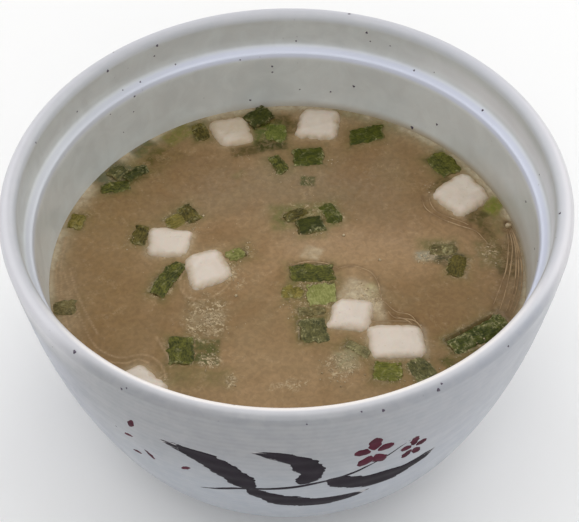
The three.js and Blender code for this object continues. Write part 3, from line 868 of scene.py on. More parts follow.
# Threads that are too thin to stand out, and only tint the surface.
FAINT_THREADS = [
    [(-25, -3.5), (-25, -6.5), (-23, -9), (-19.5, -9.5), (-16, -7), (-14, -4.5)],
    [(-54.6, 11.4), (-55.2, 5.4), (-55.1, -1.2), (-54.4, -7.6), (-52.9, -14.9), (-51.6, -18.6)],
    [(-54.2, -0.2), (-52.6, -6.1), (-49.6, -14), (-46.2, -21.8), (-43, -25.4), (-38.9, -27),
     (-34.8, -26.2), (-31.9, -26.9), (-29.5, -29.6), (-28.4, -33.1)],
    [(-56.2, 3.1), (-56, -2.8), (-54.7, -9.2)],
    [(-53, 1), (-51, -6), (-48, -13.4), (-45, -19.6)],
    [(-45.5, -25), (-42.5, -27.8), (-38, -28.6), (-35, -27.6), (-32.6, -28.6)],
    [(-31, -21), (-29.6, -24), (-28, -27), (-27.4, -30)],
    [(-24.6, 1), (-26, -3), (-25.4, -7), (-22.6, -10)],
]
# Paler and darker drifts of paste: middle, half widths, and how much paler.
DRIFTS = [
    (22, 4, 30, 9, 0.47),
    (-8, 0, 16, 13, -0.06),
    (-4, -42, 26, 14, 0.28),
    (10, 28, 13, 8, -0.34),
    (10, 40, 30, 14, -0.1),
    (-44, -8, 12, 26, -0.2),
    (-30, 30, 22, 12, -0.25),
    (30, -14, 14, 12, -0.35),
    (24, 27, 24, 14, -0.25),
    (-24, -20, 16, 8, -0.1),
]


def outline_distance(x, y, outline):
    """How far places lie outside an outline that bulges everywhere; negative is inside."""
    far = np.full(x.shape, -np.inf)
    sides = list(zip(outline, outline[1:] + outline[:1]))
    turns = sum(a[0] * b[1] - b[0] * a[1] for a, b in sides)
    for (ax, ay), (bx, by) in sides:
        nx, ny = (by - ay, ax - bx) if turns > 0 else (ay - by, bx - ax)
        far = np.maximum(far, ((x - ax) * nx + (y - ay) * ny) / math.hypot(nx, ny))
    return far


def line_distance(x, y, line):
    """How far places lie from a drawn line, for those near it; the others count as far off."""
    run = smooth_line(line, 8 * len(line))
    low, high = run.min(axis=0) - THREAD_NEAR, run.max(axis=0) + THREAD_NEAR
    close = np.flatnonzero((x > low[0]) & (x < high[0]) & (y > low[1]) & (y < high[1]))
    away = np.full(len(x), np.inf)
    away[close] = np.hypot(x[close][:, None] - run[:, 0], y[close][:, None] - run[:, 1]).min(axis=1)
    return away


def waterline(node):
    """The outline of a piece's upper side, seen from above."""
    corners = [v.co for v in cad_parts[node].data.vertices if v.co.z > SOUP_LEVEL - UPPER_SIDE]
    upper = sorted({(round(corner.x, 6), round(corner.y, 6)) for corner in corners})
    return [upper[i] for i in geometry.convex_hull_2d(upper)]


def turned(x, y, middle_x, middle_y, turn):
    """How far places lie along and across from a middle given in millimetres, after a turn."""
    c, s = math.cos(math.radians(turn)), math.sin(math.radians(turn))
    x, y = x - middle_x * MM, y - middle_y * MM
    return c * x + s * y, c * y - s * x


def patch(x, y, middle_x, middle_y, half_x, half_y, turn=0.0):
    """1 in the middle of an oval patch, fading to 0 at twice its half widths."""
    along, across = turned(x, y, middle_x, middle_y, turn)
    return np.exp(-(((along / (half_x * MM)) ** 2 + (across / (half_y * MM)) ** 2) ** PATCH_SHARP))


def fading(away, wide, sharp=2):
    """1 at a thing, and less and less with the distance from it."""
    return np.exp(-((away / wide) ** sharp))


def wall_climb(x, y):
    """How far the broth has climbed at a place, by the pull of the wall."""
    return CLIMB_WALL * np.exp(-np.clip(soup_edge - np.hypot(x, y), 0, None) / CLIMB_WALL_REACH)


soup_edge = np.interp(SOUP_LEVEL, inner_line[:, 1], inner_line[:, 0])
cubes = sorted(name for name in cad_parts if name.startswith("tofu"))
slices = sorted(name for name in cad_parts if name.startswith("onion"))
outlines = {name: waterline(name) for name in cubes + slices}


def broth_mesh():
    """A closed body: a fine net across the top, rings down the wall, and a floor."""
    side = np.linspace(-1, 1, BROTH_CELLS + 1)
    u, v = np.meshgrid(side, side, indexing="ij")
    reach = soup_edge + CLIMB_WALL / 3 + INTO_WALL
    x, y = reach * u * np.sqrt(1 - v**2 / 2), reach * v * np.sqrt(1 - u**2 / 2)
    z = SOUP_LEVEL + wall_climb(x, y)
    for name, outline in outlines.items():
        away = outline_distance(x, y, outline)
        climb, dip, margin = CLIMB_SLICE, SLICE_DIP, SLICE_DIP_MARGIN
        if name in cubes:
            climb, dip, margin = CLIMB_CUBE, CUBE_DIP, CUBE_DIP_MARGIN
        z += climb * np.exp(-np.clip(away, 0, None) / CLIMB_REACH)
        z[away < -margin] = SOUP_LEVEL - dip
    top = np.stack([x, y, z], axis=-1).reshape(-1, 3)
    number = np.arange(len(top)).reshape(x.shape)
    faces = np.stack([number[:-1, :-1], number[1:, :-1], number[1:, 1:], number[:-1, 1:]], axis=-1)
    faces = faces.reshape(-1, 4).tolist()
    rim = [*number[:-1, 0], *number[-1, :-1], *number[:0:-1, -1], *number[0, :0:-1]]
    around = len(rim)
    radius, height = inner_line.T
    wall = inner_line[(height < SOUP_LEVEL - WALL_BELOW) & (radius > WALL_WITHOUT)][::-1]
    wall = wall[np.linspace(0, len(wall) - 1, BROTH_RINGS).astype(int)]
    angles = np.arctan2(top[rim, 1], top[rim, 0])
    places = [top]
    previous = rim
    for radius, height in wall + (INTO_WALL, -INTO_WALL):
        ring = [radius * np.cos(angles), radius * np.sin(angles), np.full(around, height)]
        start = sum(len(p) for p in places)
        places.append(np.stack(ring, axis=-1))
        current = range(start, start + around)
        for i in range(around):
            k = (i + 1) % around
            faces.append((previous[k], previous[i], current[i], current[k]))
        previous = current
    places.append([(0, 0, INNER_WALL[0][1] * MM - INTO_WALL)])
    bottom = sum(len(p) for p in places) - 1
    faces += [(previous[(i + 1) % around], previous[i], bottom) for i in range(around)]
    return np.concatenate(places), [tuple(int(k) for k in face) for face in faces]


def below_surface(x, y):
    """The colour and strength of what shows from below, with painted light at the wall and painted
    shade along the threads, and the froth and drift, at each place.
    """
    seen = np.zeros((len(x), 3))
    cover = np.zeros(len(x))

    def lay(tone, strength):
        after = strength + cover * (1 - strength)
        part = np.divide(strength, after, out=np.zeros_like(after), where=after > 0)[:, None]
        seen[:] = seen * (1 - part) + np.array(tone[:3]) * part
        cover[:] = after

    wall = np.clip(soup_edge - np.hypot(x, y), 0, None)
    left = np.clip(-x / MARGIN_LEFT_FADE, 0, 1)
    # Painted light: the broth over the sloping wall is lifted against the shade of the wall.
    lay(MARGIN_TONE, 0.75 * fading(wall, MARGIN_WIDE))
    lay(MARGIN_LIT_EDGE, 0.9 * fading(wall, 0.35 * MARGIN_WIDE))
    lay(MARGIN_LEFT, 0.7 * fading(wall, 0.75 * MARGIN_WIDE) * left)
    near = np.full(len(x), np.inf)
    for name in cubes + slices:
        away = np.clip(outline_distance(x, y, outlines[name]), 0, None)
        near = np.minimum(near, away)
        if name in cubes:
            lay(CUBE_HALO, 0.75 * fading(away, CUBE_HALO_WIDE, HALO_SHARP))
        else:
            lay(SLICE_HALO, 0.6 * fading(away, SLICE_HALO_WIDE, HALO_SHARP))
            lay(SLICE_SHADE, 0.5 * fading(away, SLICE_SHADE_WIDE, HALO_SHARP))
    for middle_x, middle_y, half_long, half_wide, turn, soft, tone, strength in SUNKEN:
        along, across = turned(x, y, middle_x, middle_y, turn)
        along, across = np.abs(along) - half_long * MM, np.abs(across) - half_wide * MM
        away = np.maximum(along, across) + 0.5 * np.clip(np.minimum(along, across), 0, None)
        lay(tone, strength / (1 + np.exp(np.clip(away / (soft * MM) * 3, -20, 20))))
    for line in THREADS:
        # Painted shade along each thread.
        lay(THREAD_SHADE, 0.5 * fading(line_distance(x, y, line), THREAD_SHADE_WIDE))
    for line in FAINT_THREADS:
        away = line_distance(x, y, line)
        # Painted shade beside each faint thread, then its pale line.
        lay(FAINT_THREAD_SHADE, 0.35 * fading(away, THREAD_SHADE_WIDE))
        lay(FAINT_THREAD, 0.65 * fading(away, 0.4 * THREAD_SHADE_WIDE))
    froth = FROTH_CLINGS * fading(near, FROTH_CLINGS_WIDE)
    froth *= np.clip((FROTH_CLINGS_BACK - y) / FROTH_CLINGS_FADE, 0, 1)
    for *place, strength in FROTH:
        froth = np.maximum(froth, strength * patch(x, y, *place))
    drift = sum(share * patch(x, y, *place) for *place, share in DRIFTS)
    return np.column_stack([seen, cover]), froth, drift


def froth_group():
    """Fine froth: tiny domes that hang together in short curls."""
    tree, given, out = group("fine_froth", {"Scale": 1500.0}, "Dome")
    place = shaken(tree, given["Vector"], 620.0, 3.0, FROTH_TORN)
    net = put(tree, "ShaderNodeTexVoronoi", {"Vector": place, "Scale": given["Scale"]})
    wanted = {"Vector": given["Vector"], "Scale": 560.0, "Detail": 1.5, "Distortion": 1.6}
    level = put(tree, "ShaderNodeTexNoise", wanted).outputs[0]
    from_line = reckon(tree, "ABSOLUTE", reckon(tree, "SUBTRACT", level, 0.5))
    curl = ramp(tree, from_line, 0.11, 0.02, 0.12, 1.0)
    tree.links.new(product(tree, curl, ramp(tree, net.outputs["Distance"], 0.7, 0.2, 0.35, 1.0)), out)
    return tree


fine_froth = froth_group()


def domes(tree, place, scale):
    """The fine froth at one scale."""
    wanted = {"Vector": place, "Scale": scale}
    return put(tree, "ShaderNodeGroup", node_tree=fine_froth, inputs=wanted).outputs[0]


def broth_surface():
    """Cloudy stock with drifts of paste, through which the sunken things show, and its froth."""
    material, tree, shader, place = surface("cloudy_broth", IOR=1.34)
    froth = attribute(tree, "froth")
    below = put(tree, "ShaderNodeAttribute", attribute_name="below").outputs
    stock = blend(tree, clouds(tree, place, 30, 1.4), STOCK_DARK, STOCK_LIGHT)
    paste = reckon(tree, "MULTIPLY_ADD", clouds(tree, place, 90, 1.2), 0.3, attribute(tree, "drift"))
    tone = blend(tree, ramp(tree, paste, -0.3, 1.0), stock, PASTE_TONE)
    veil = ramp(tree, clouds(tree, place, 520, 0.8), 0, 1, 0.6, 1.12)
    tone = blend(tree, product(tree, below["Alpha"], veil), tone, below["Color"])
    flecks = ramp(tree, clouds(tree, place, 300, 1.0), 0.6, 1.0, 0, 0.3)
    tone = blend(tree, product(tree, domes(tree, place, 1250), flecks), tone, FLECK_TONE)
    dome = domes(tree, place, 1450)
    thick = ramp(tree, product(tree, froth, clouds(tree, place, 480, 1.0)), 0.05, 0.5)
    tone = blend(tree, product(tree, thick, 0.3), tone, FROTH_SHADE)
    tone = blend(tree, product(tree, thick, dome), tone, FROTH_TONE)
    wanted = {"Vector": place, "Scale": 850.0, "Detail": 3.0, "Distortion": 0.6}
    grain = ramp(tree, put(tree, "ShaderNodeTexNoise", wanted).outputs[0], 0.3, 0.7, 0.9, 1.1)
    tone = put(tree, "ShaderNodeHueSaturation", {"Color": tone, "Value": grain}).outputs[0]
    waves = product(tree, clouds(tree, place, 300), 0.25)
    swell = reckon(tree, "ADD", product(tree, dome, thick), waves)
    rough = ramp(tree, froth, 0, 1, 0.14, 0.4)
    normal = relief(tree, swell, 0.5, FROTH_DEEP)
    feed(tree, shader, Base_Color=tone, Roughness=rough, Normal=normal)
    return material


vertices, faces = broth_mesh()
broth = mesh_object("miso_broth", vertices, faces, [broth_surface()])
below, froth, drift = below_surface(vertices[:, 0], vertices[:, 1])
mark(broth.data, "below", below.ravel(), "FLOAT_COLOR", "color")
mark(broth.data, "froth", froth)
mark(broth.data, "drift", drift)
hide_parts("broth")
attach(broth, "root")


# ---------------------------------------------------------------------------------------------
# The tofu. Soft bean curd, cut by hand into cubes that float with their tops just clear of the
# broth. The cut faces are close and smooth, with a few pores and slightly crumbled edges.
# ---------------------------------------------------------------------------------------------

CURD_VOXEL = 0.32 * MM
CURD_SOFTENED = 30  # rounds of smoothing
CURD_FILL = 0.15 * MM  # makes up for what the rounding of the edges takes off
# How a face waves, crumbles and grains, and how its outline bends and is nicked: how far, and how
# many times a metre.
CURD_WAVES = ((0.2 * MM, 240), (0.12 * MM, 620), (0.035 * MM, 1400))
CURD_RAGGED = ((0.4 * MM, 260), (0.3 * MM, 800))
CURD_WET_EDGE = 1.5 * MM  # of the border that the broth has soaked
# The curds, each light and dark. All but the fresh one are darker copies of it, as painted shade
# on the cubes away from the front.
CURDS = {
    "fresh": (colour(206, 194, 181), colour(198, 185, 171)),
    "tinted": (colour(202, 190, 176), colour(192, 179, 163)),
    "deep_shaded": (colour(194, 181, 165), colour(181, 165, 143)),
}
CURD_PORE = colour(172, 154, 132)
CURD_WET = colour(170, 150, 122)
CURD_GRAIN_DEEP = 0.1 * MM
CURD_LIGHT_REACH = 1.5 * MM  # how far light travels inside the curd
WELD = 0.001 * MM  # corners closer than this are one
# Each cube: its curd, how far its sides have swollen in millimetres, and how much deeper it has
# sagged at its left and right side.
CUBES = {
    "tofu_back_left": ("deep_shaded", 0.6, (1, 1)),
    "tofu_back": ("tinted", 0.55, (1, 1)),
    "tofu_right": ("tinted", 0.6, (1, 1)),
    "tofu_left": ("tinted", 0.3, (1, 1)),
    "tofu_inner_left": ("fresh", 0.85, (1, 1)),
    "tofu_front_left": ("fresh", 0.3, (1, 1)),
    "tofu_centre": ("fresh", 0.65, (1, 1)),
    "tofu_front_right": ("fresh", 0.3, (1.26, 0.97)),
}


def tofu_surface(name, light, dark):
    """Cut curd with fine pores, soaked brown along the edges of its upper side."""
    inner_light = {"Subsurface_Weight": 0.15, "Subsurface_Scale": CURD_LIGHT_REACH}
    material, tree, shader, place = surface(name, **inner_light, Specular_IOR_Level=0.35)
    tone = blend(tree, clouds(tree, place, 150, 0.8), light, dark)
    tone = blend(tree, product(tree, specks(tree, place, 900, 0.35, 0.2), 0.5), tone, CURD_PORE)
    tinted = ramp(tree, clouds(tree, place, 420, 0.8), 0, 1, 0.55, 1.0)
    tinted = product(tree, ramp(tree, attribute(tree, "edge"), 0, 1), tinted)
    tone = blend(tree, tinted, tone, CURD_WET)
    rough = ramp(tree, clouds(tree, place, 300), 0, 1, 0.42, 0.6)
    grain = put(tree, "ShaderNodeTexNoise", {"Vector": place, "Scale": 1600.0, "Detail": 3.0})
    normal = relief(tree, grain.outputs[0], 0.35, CURD_GRAIN_DEEP)
    feed(tree, shader, Base_Color=tone, Roughness=rough, Normal=normal)
    return material


def triples(items, field):
    """A field of three numbers of each item, as rows."""
    values = np.zeros(len(items) * 3)
    items.foreach_get(field, values)
    return values.reshape(-1, 3)


def welded(node, name):
    """A copy of a CAD piece whose loose triangles are joined."""
    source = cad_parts[node].data
    places = triples(source.vertices, "co")
    cells = np.round(places / WELD).astype(int)
    first, same = np.unique(cells, axis=0, return_index=True, return_inverse=True)[1:]
    same = np.ravel(same)
    faces = [tuple(int(same[k]) for k in face.vertices) for face in source.polygons]
    return mesh_object(name, places[first], [face for face in faces if len(set(face)) == 3], [])


def rounded(piece, voxel, rounds):
    """Remeshes a piece finely and softens it, and makes the result its plain mesh."""
    remesh = piece.modifiers.new("remesh", "REMESH")
    remesh.mode = "VOXEL"
    remesh.voxel_size = voxel
    remesh.use_smooth_shade = True
    soften = piece.modifiers.new("soften", "SMOOTH")
    soften.factor = 0.5
    soften.iterations = rounds
    shaped = piece.evaluated_get(bpy.context.evaluated_depsgraph_get())
    fine = bpy.data.meshes.new_from_object(shaped)
    piece.modifiers.clear()
    piece.data = fine
    return fine


def ragged(places, *waves):
    """Shifts places sideways unevenly: by how far, and how many times a metre, for each wave."""
    shift = np.zeros((len(places), 3))
    for far, often in waves:
        for way, slab in ((0, 0.1), (1, 0.2)):
            uneven = [noise.noise(Vector((x, y, slab)) * often) for x, y, _ in places]
            shift[:, way] += far * np.array(uneven)
    return places + shift


def dress(mesh, places, material):
    """Moves a mesh's points to their finished places and gives it its one material."""
    mesh.vertices.foreach_set("co", places.ravel())
    mesh.materials.clear()
    mesh.materials.append(material)


curds = {name: tofu_surface(name + "_curd", *tones) for name, tones in CURDS.items()}
for node in cubes:
    curd, swell, sagged = CUBES[node]
    cube = welded(node, node.replace("tofu", "curd"))
    mesh = rounded(cube, CURD_VOXEL, CURD_SOFTENED)
    places, normals = triples(mesh.vertices, "co"), triples(mesh.vertex_normals, "vector")
    push = [
        sum((far * noise.noise(Vector(place) * often) for far, often in CURD_WAVES), CURD_FILL)
        for place in places
    ]
    away = outline_distance(places[:, 0], places[:, 1], outlines[node])
    mark(mesh, "edge", np.clip(1 + away / CURD_WET_EDGE, 0, 1))
    near_side = places[:, 1].min()
    ends = (places[:, 0].min(), places[:, 0].max())
    places[:, 1] = near_side + (places[:, 1] - near_side) * np.interp(places[:, 0], ends, sagged)
    swollen = np.array(push)[:, None] + swell * MM * np.array((1, 1, 0))
    dress(mesh, ragged(places + normals * swollen, *CURD_RAGGED), curds[curd])
    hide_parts(node)
    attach(cube, "root")


# ---------------------------------------------------------------------------------------------
# The spring onion. Green tops, cut across into short pieces. Some are still flattened tubes, others
# have sprung open into single curved walls. Fine ribs run along them, and they float wet and dark.
# ---------------------------------------------------------------------------------------------

ONION_VOXEL = 0.15 * MM
ONION_SOFTENED = 1
ONION_FILL = 0.05 * MM  # makes up for what the rounding of the edges takes off
ONION_RAGGED = ((0.65 * MM, 480), (0.34 * MM, 1300))  # how far it bends and tears, and how often
RIB_SPACING = 0.55 * MM
RIB_HEIGHT = 0.03 * MM
RIB_WANDER = 0.8  # how far the ribs wander, in radians
EDGE_WIDE = 0.8 * MM  # of the border where froth clings to a slice
# The greens, each dark and light.
GREENS = {
    "deep": (colour(42, 48, 0), colour(82, 84, 18)),
    "leaf": (colour(40, 44, 6), colour(104, 102, 40)),
    "dark": (colour(32, 36, 0), colour(66, 68, 12)),
    "dull": (colour(44, 40, 6), colour(108, 96, 42)),
    "moss": (colour(62, 70, 20), colour(112, 116, 52)),
    "frothy": (colour(36, 44, 4), colour(84, 88, 30)),
    "olive": (colour(78, 71, 22), colour(138, 123, 60)),
    "misted": (colour(48, 50, 22), colour(108, 102, 60)),
    "veiled": (colour(78, 72, 42), colour(134, 124, 84)),
    "hazy": (colour(68, 60, 30), colour(122, 109, 68)),
    "fresh": (colour(72, 74, 18), colour(122, 120, 50)),
    "faded": (colour(88, 90, 38), colour(146, 142, 84)),
    "pale": (colour(106, 108, 52), colour(154, 154, 96)),
}
# Each slice: its green, how far its sides have swollen, and how far it has drifted across and
# back, in millimetres.
SLICES = {
    "onion_01": ("olive", 0.35, -0.4, -0.1),
    "onion_02": ("leaf", 0.4, 0.2, 0),
    "onion_03": ("dark", 0.45, 0, 0.3),
    "onion_04": ("misted", 0.4, 0.4, -0.1),
    "onion_05": ("dull", 0.3, 0.3, 0),
    "onion_06": ("dark", 0.6, 0, 0),
    "onion_07": ("moss", 0.5, 0.1, 0.2),
    "onion_08": ("deep", 0.55, 0, 0.1),
    "onion_09": ("leaf", 0.55, 0.7, -0.3),
    "onion_10": ("leaf", 0.4, 0.1, 0.5),
    "onion_11": ("deep", 0.35, 0, 0.2),
    "onion_12": ("dull", 0.4, 0, -0.1),
    "onion_13": ("olive", 1, 0.5, -0.5),
    "onion_14": ("dull", 0.5, 0.3, 0),
    "onion_15": ("leaf", 0.5, 0.5, 0.6),
    "onion_16": ("faded", 0.35, -1, 0),
    "onion_17": ("dull", 0.3, 0.5, -0.1),
    "onion_18": ("dark", 0.8, -0.3, 0.1),
    "onion_19": ("deep", 0.45, -0.3, 0),
    "onion_20": ("hazy", 0.4, 0, -0.5),
    "onion_21": ("dull", 0.45, -0.2, 0.3),
    "onion_22": ("hazy", 0.4, -0.3, 0),
    "onion_23": ("leaf", 0.15, 0, 0),
    "onion_24": ("leaf", 0.35, 0.1, 0),
    "onion_25": ("pale", 0.5, -0.1, 0),
    "onion_26": ("olive", 0.5, -0.7, 0.1),
    "onion_27": ("hazy", 0.3, 0.6, 0.1),
    "onion_28": ("misted", 0.4, 0.8, -0.2),
    "onion_29": ("veiled", 0.45, 0.7, -0.1),
    "onion_30": ("fresh", 0.45, 0.2, 0.3),
    "onion_31": ("misted", 0.6, 0, 0.2),
    "onion_32": ("frothy", 0.15, 0.4, -0.6),
}
FROTH_COVER = {"frothy": 0.45, "misted": 0.2, "veiled": 0.35, "hazy": 0.3}  # of a slice, by its green
# Pale froth, which also stands in for painted glints on the wet leaf.
ONION_FROTH_GLINT = colour(166, 159, 116)
ONION_WET = colour(96, 82, 44)
FILM_DEEP = 0.08 * MM


def onion_surface(name, dark, light, cover=0.0):
    """Wet leaf, under a film of froth that clings to its border and covers some or all of it; its pale
    dots are partly froth and partly painted glints of the wet leaf.
    """
    material, tree, shader, place = surface(name, Specular_IOR_Level=0.15)
    edge = attribute(tree, "edge")
    tone = blend(tree, clouds(tree, place, 520, 1.0), dark, light)
    tone = blend(tree, product(tree, clouds(tree, place, 1700, 0.8), 0.75), tone, dark)
    ribbed = product(tree, ramp(tree, attribute(tree, "rib"), 0.4, 1), 0.3)
    tone = blend(tree, ribbed, tone, light)
    wet = reckon(tree, "MULTIPLY_ADD", edge, 0.6 - 0.2 * cover, clouds(tree, place, 360, 0.8))
    film = product(tree, domes(tree, place, 1500), ramp(tree, wet, 0.6 - cover, 1.3 - cover))
    # The pale dots: froth, and painted glints of light on the wet leaf.
    tone = blend(tree, product(tree, film, 0.75), tone, ONION_FROTH_GLINT)
    tinted = ramp(tree, clouds(tree, place, 640, 0.8), 0.2, 0.8, 0.05, 0.7)
    tone = blend(tree, product(tree, ramp(tree, edge, 0.5, 1.0), tinted), tone, ONION_WET)
    rough = ramp(tree, clouds(tree, place, 600), 0, 1, 0.4, 0.6)
    normal = relief(tree, film, 0.3, FILM_DEEP)
    feed(tree, shader, Base_Color=tone, Roughness=rough, Normal=normal)
    return material


greens = {
    name: onion_surface(name + "_onion", *tones, FROTH_COVER.get(name, 0))
    for name, tones in GREENS.items()
}
for node in slices:
    green, *moved = SLICES[node]
    piece = welded(node, node.replace("onion", "spring_onion"))
    mesh = rounded(piece, ONION_VOXEL, ONION_SOFTENED)
    places, normals = triples(mesh.vertices, "co"), triples(mesh.vertex_normals, "vector")
    flat = places[:, :2] - places[:, :2].mean(axis=0)
    along = np.linalg.eigh(flat.T @ flat)[1][:, 1]
    across = np.array([-along[1], along[0]])
    run, side = flat @ along, flat @ across
    rib = 0.5 + 0.5 * np.sin(2 * np.pi * side / RIB_SPACING + RIB_WANDER * np.sin(run / MM))
    mark(mesh, "rib", rib)
    away = outline_distance(places[:, 0], places[:, 1], outlines[node])
    mark(mesh, "edge", np.clip(1 + away / EDGE_WIDE, 0, 1))
    swell, *drifted = np.array(moved) * MM
    wider = np.outer(run / np.abs(run).max(), along) + np.outer(side / np.abs(side).max(), across)
    places[:, :2] += swell * wider + drifted
    push = ONION_FILL + RIB_HEIGHT * rib
    places = ragged(places + normals * push[:, None], *ONION_RAGGED)
    dress(mesh, places, greens[green])
    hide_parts(node)
    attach(piece, "root")


# ---------------------------------------------------------------------------------------------
# The threads and bubbles. The paste draws out into low, pale threads where the broth has crept
# round the cubes and along the wall. Air from pouring stays as small bubbles round the pieces.
# ---------------------------------------------------------------------------------------------

THREAD_RADIUS = 0.21 * MM
THREAD_SINK = 0.08 * MM  # how deep the middle of a thread lies under the broth
THREAD_STEP = 0.25 * MM
THREAD_TAPER = 0.45  # the higher, the sooner a thread thins towards its ends
THREAD_SIDES = 8
THREAD_TONES = (colour(132, 107, 76), colour(158, 133, 99))
BUBBLE_TONES = (colour(130, 110, 76), colour(184, 166, 134))
# Where bubbles gather: middle and spread in millimetres, and how many.
BUBBLE_CLUSTERS = [
    (-19.2, -15.5, 4.2, 5.6, 150), (-17.6, -27.5, 2.6, 3.6, 60), (-13.4, -34.6, 1.2, 2.2, 26),
    (12.7, -31, 4.4, 4, 120), (19.5, -9.5, 3.6, 4, 70), (34.2, 3, 2.8, 1.7, 60),
    (-44.2, 34.4, 2.6, 2.2, 16), (50, 4.2, 3, 4.2, 20), (5.6, 29, 2, 2.4, 26),
    (-22.6, 14.6, 1.8, 2.4, 26), (-12.6, -1, 1.6, 4.6, 46), (6, -5.6, 5.6, 1, 60),
    (1.6, -12, 2.6, 4.8, 46), (26.6, -30, 7, 1.6, 50), (18.2, -24.6, 1.4, 4.2, 36),
    (30.8, -24, 1, 4.4, 26), (6.2, 11.6, 3.4, 0.8, 24), (9.6, 36.6, 4, 1.4, 22),
    (-38.4, 9.4, 1.4, 2.6, 18), (-8.4, 6.8, 2.2, 1.6, 22), (46.4, -24, 8, 1.4, 40),
    (-2.6, 33, 1.4, 2.2, 16), (-9.6, 39, 1, 1, 8), (50.9, 25.6, 1.6, 2.6, 16), (37, 27, 1.6, 3, 14),
    (-28.4, -33.6, 2.2, 1.4, 10), (24.6, -35.6, 3.2, 1.2, 16),
]
BUBBLES_CLOSE = 0.6  # share of the spread within which most of them keep
BUBBLE_SMALL = 0.07 * MM  # radius
BUBBLE_LARGE = 0.24 * MM
STRAY_BUBBLES = 70
STRAY_REACH = 54  # how far from the middle they stray, in millimetres
STRAY_SIZE = 1.6  # against the smallest
# The big ones: across, back and radius in millimetres.
BIG_BUBBLES = [
    (55.1, 12.8, 0.9), (-12.4, -8.6, 0.4), (14.1, 10.6, 0.42), (22.6, 2.2, 0.4), (-20.8, 18.1, 0.3),
]
CLEAR_OF_WALL = 0.6 * MM
CLEAR_OF_CUBE = 0.1 * MM
OVER_SLICE = 0.6 * MM  # how far they may sit over a slice
BUBBLE_FLOAT = 0.15  # how high they float, in radii
SLICE_HIGH = 0.45 * MM  # how much higher they sit on a slice


def node_tree(name, inputs):
    """An empty geometry node tree with its named inputs."""
    tree = bpy.data.node_groups.new(name, "GeometryNodeTree")
    tree.interface.new_socket("Geometry", in_out="INPUT", socket_type="NodeSocketGeometry")
    tree.interface.new_socket("Geometry", in_out="OUTPUT", socket_type="NodeSocketGeometry")
    for title, kind in inputs:
        tree.interface.new_socket(title, in_out="INPUT", socket_type=kind)
    return tree, tree.nodes.new("NodeGroupInput").outputs, tree.nodes.new("NodeGroupOutput").inputs


def grown(start, tree, values):
    """Runs a geometry node tree on an object, makes the result its plain mesh, and returns it."""
    modifier = start.modifiers.new(tree.name, "NODES")
    modifier.node_group = tree
    for item in tree.interface.items_tree:
        if item.in_out == "INPUT" and item.name in values:
            modifier[item.identifier] = values[item.name]
    shaped = start.evaluated_get(bpy.context.evaluated_depsgraph_get())
    mesh = bpy.data.meshes.new_from_object(shaped)
    name = start.name
    bpy.data.objects.remove(start)
    made = bpy.data.objects.new(name, mesh)
    bpy.context.scene.collection.objects.link(made)
    return made


def coat(tree, geometry, given, out):
    """Ends a tree: smooth shading and the material that was given."""
    smooth = put(tree, "GeometryNodeSetShadeSmooth", {"Geometry": geometry})
    wanted = {"Geometry": smooth.outputs[0], "Material": given["Material"]}
    tree.links.new(put(tree, "GeometryNodeSetMaterial", wanted).outputs[0], out["Geometry"])


def thread_tree():
    """Sweeps a round thread along each line, thin at both ends and uneven between them."""
    tree, given, out = node_tree(
        "paste_threads", [("Radius", "NodeSocketFloat"), ("Material", "NodeSocketMaterial")]
    )
    wanted = {"Curve": given["Geometry"], "Length": THREAD_STEP}
    fine = put(tree, "GeometryNodeResampleCurve", wanted, mode="LENGTH")
    part = put(tree, "GeometryNodeSplineParameter").outputs["Factor"]
    arch = reckon(tree, "SINE", product(tree, part, math.pi))
    taper = reckon(tree, "POWER", arch, THREAD_TAPER)
    uneven = put(tree, "ShaderNodeTexNoise", {"Scale": 260.0, "Detail": 2.0}).outputs[0]
    wanted = {"Value": uneven, "From Min": 0.35, "From Max": 0.65, "To Min": 0.75, "To Max": 1.15}
    width = product(tree, taper, put(tree, "ShaderNodeMapRange", wanted).outputs[0])
    wanted = {"Resolution": THREAD_SIDES, "Radius": given["Radius"]}
    circle = put(tree, "GeometryNodeCurvePrimitiveCircle", wanted)
    wanted = {"Curve": fine.outputs[0], "Profile Curve": circle.outputs[0], "Scale": width}
    swept = put(tree, "GeometryNodeCurveToMesh", {**wanted, "Fill Caps": True})
    coat(tree, swept.outputs[0], given, out)
    return tree


def bubble_tree():
    """Sets a small ball at each point, as large as the point says."""
    tree, given, out = node_tree("air_bubbles", [("Material", "NodeSocketMaterial")])
    ball = put(tree, "GeometryNodeMeshIcoSphere", {"Radius": 1.0, "Subdivisions": 2}).outputs[0]
    size = put(tree, "GeometryNodeInputNamedAttribute", {"Name": "size"}, data_type="FLOAT").outputs[0]
    wanted = {"Points": given["Geometry"], "Instance": ball, "Scale": size}
    balls = put(tree, "GeometryNodeInstanceOnPoints", wanted)
    real = put(tree, "GeometryNodeRealizeInstances", {"Geometry": balls.outputs[0]})
    coat(tree, real.outputs[0], given, out)
    return tree


def thread_surface():
    """Wet paste, brown where it thins out and pale where it has gathered."""
    material, tree, shader, place = surface("pale_thread", Roughness=0.2, IOR=1.34)
    gathered = ramp(tree, clouds(tree, place, 260), 0.1, 0.8)
    feed(tree, shader, Base_Color=blend(tree, gathered, *THREAD_TONES))
    return material


def bubble_surface():
    """A bubble's bright, wet skin, with the broth's own tones behind it."""
    material, tree, shader, place = surface("bubble_skin", Roughness=0.08, IOR=1.34, Coat_Weight=0.6)
    feed(tree, shader, Base_Color=blend(tree, clouds(tree, place, 900), *BUBBLE_TONES))
    return material


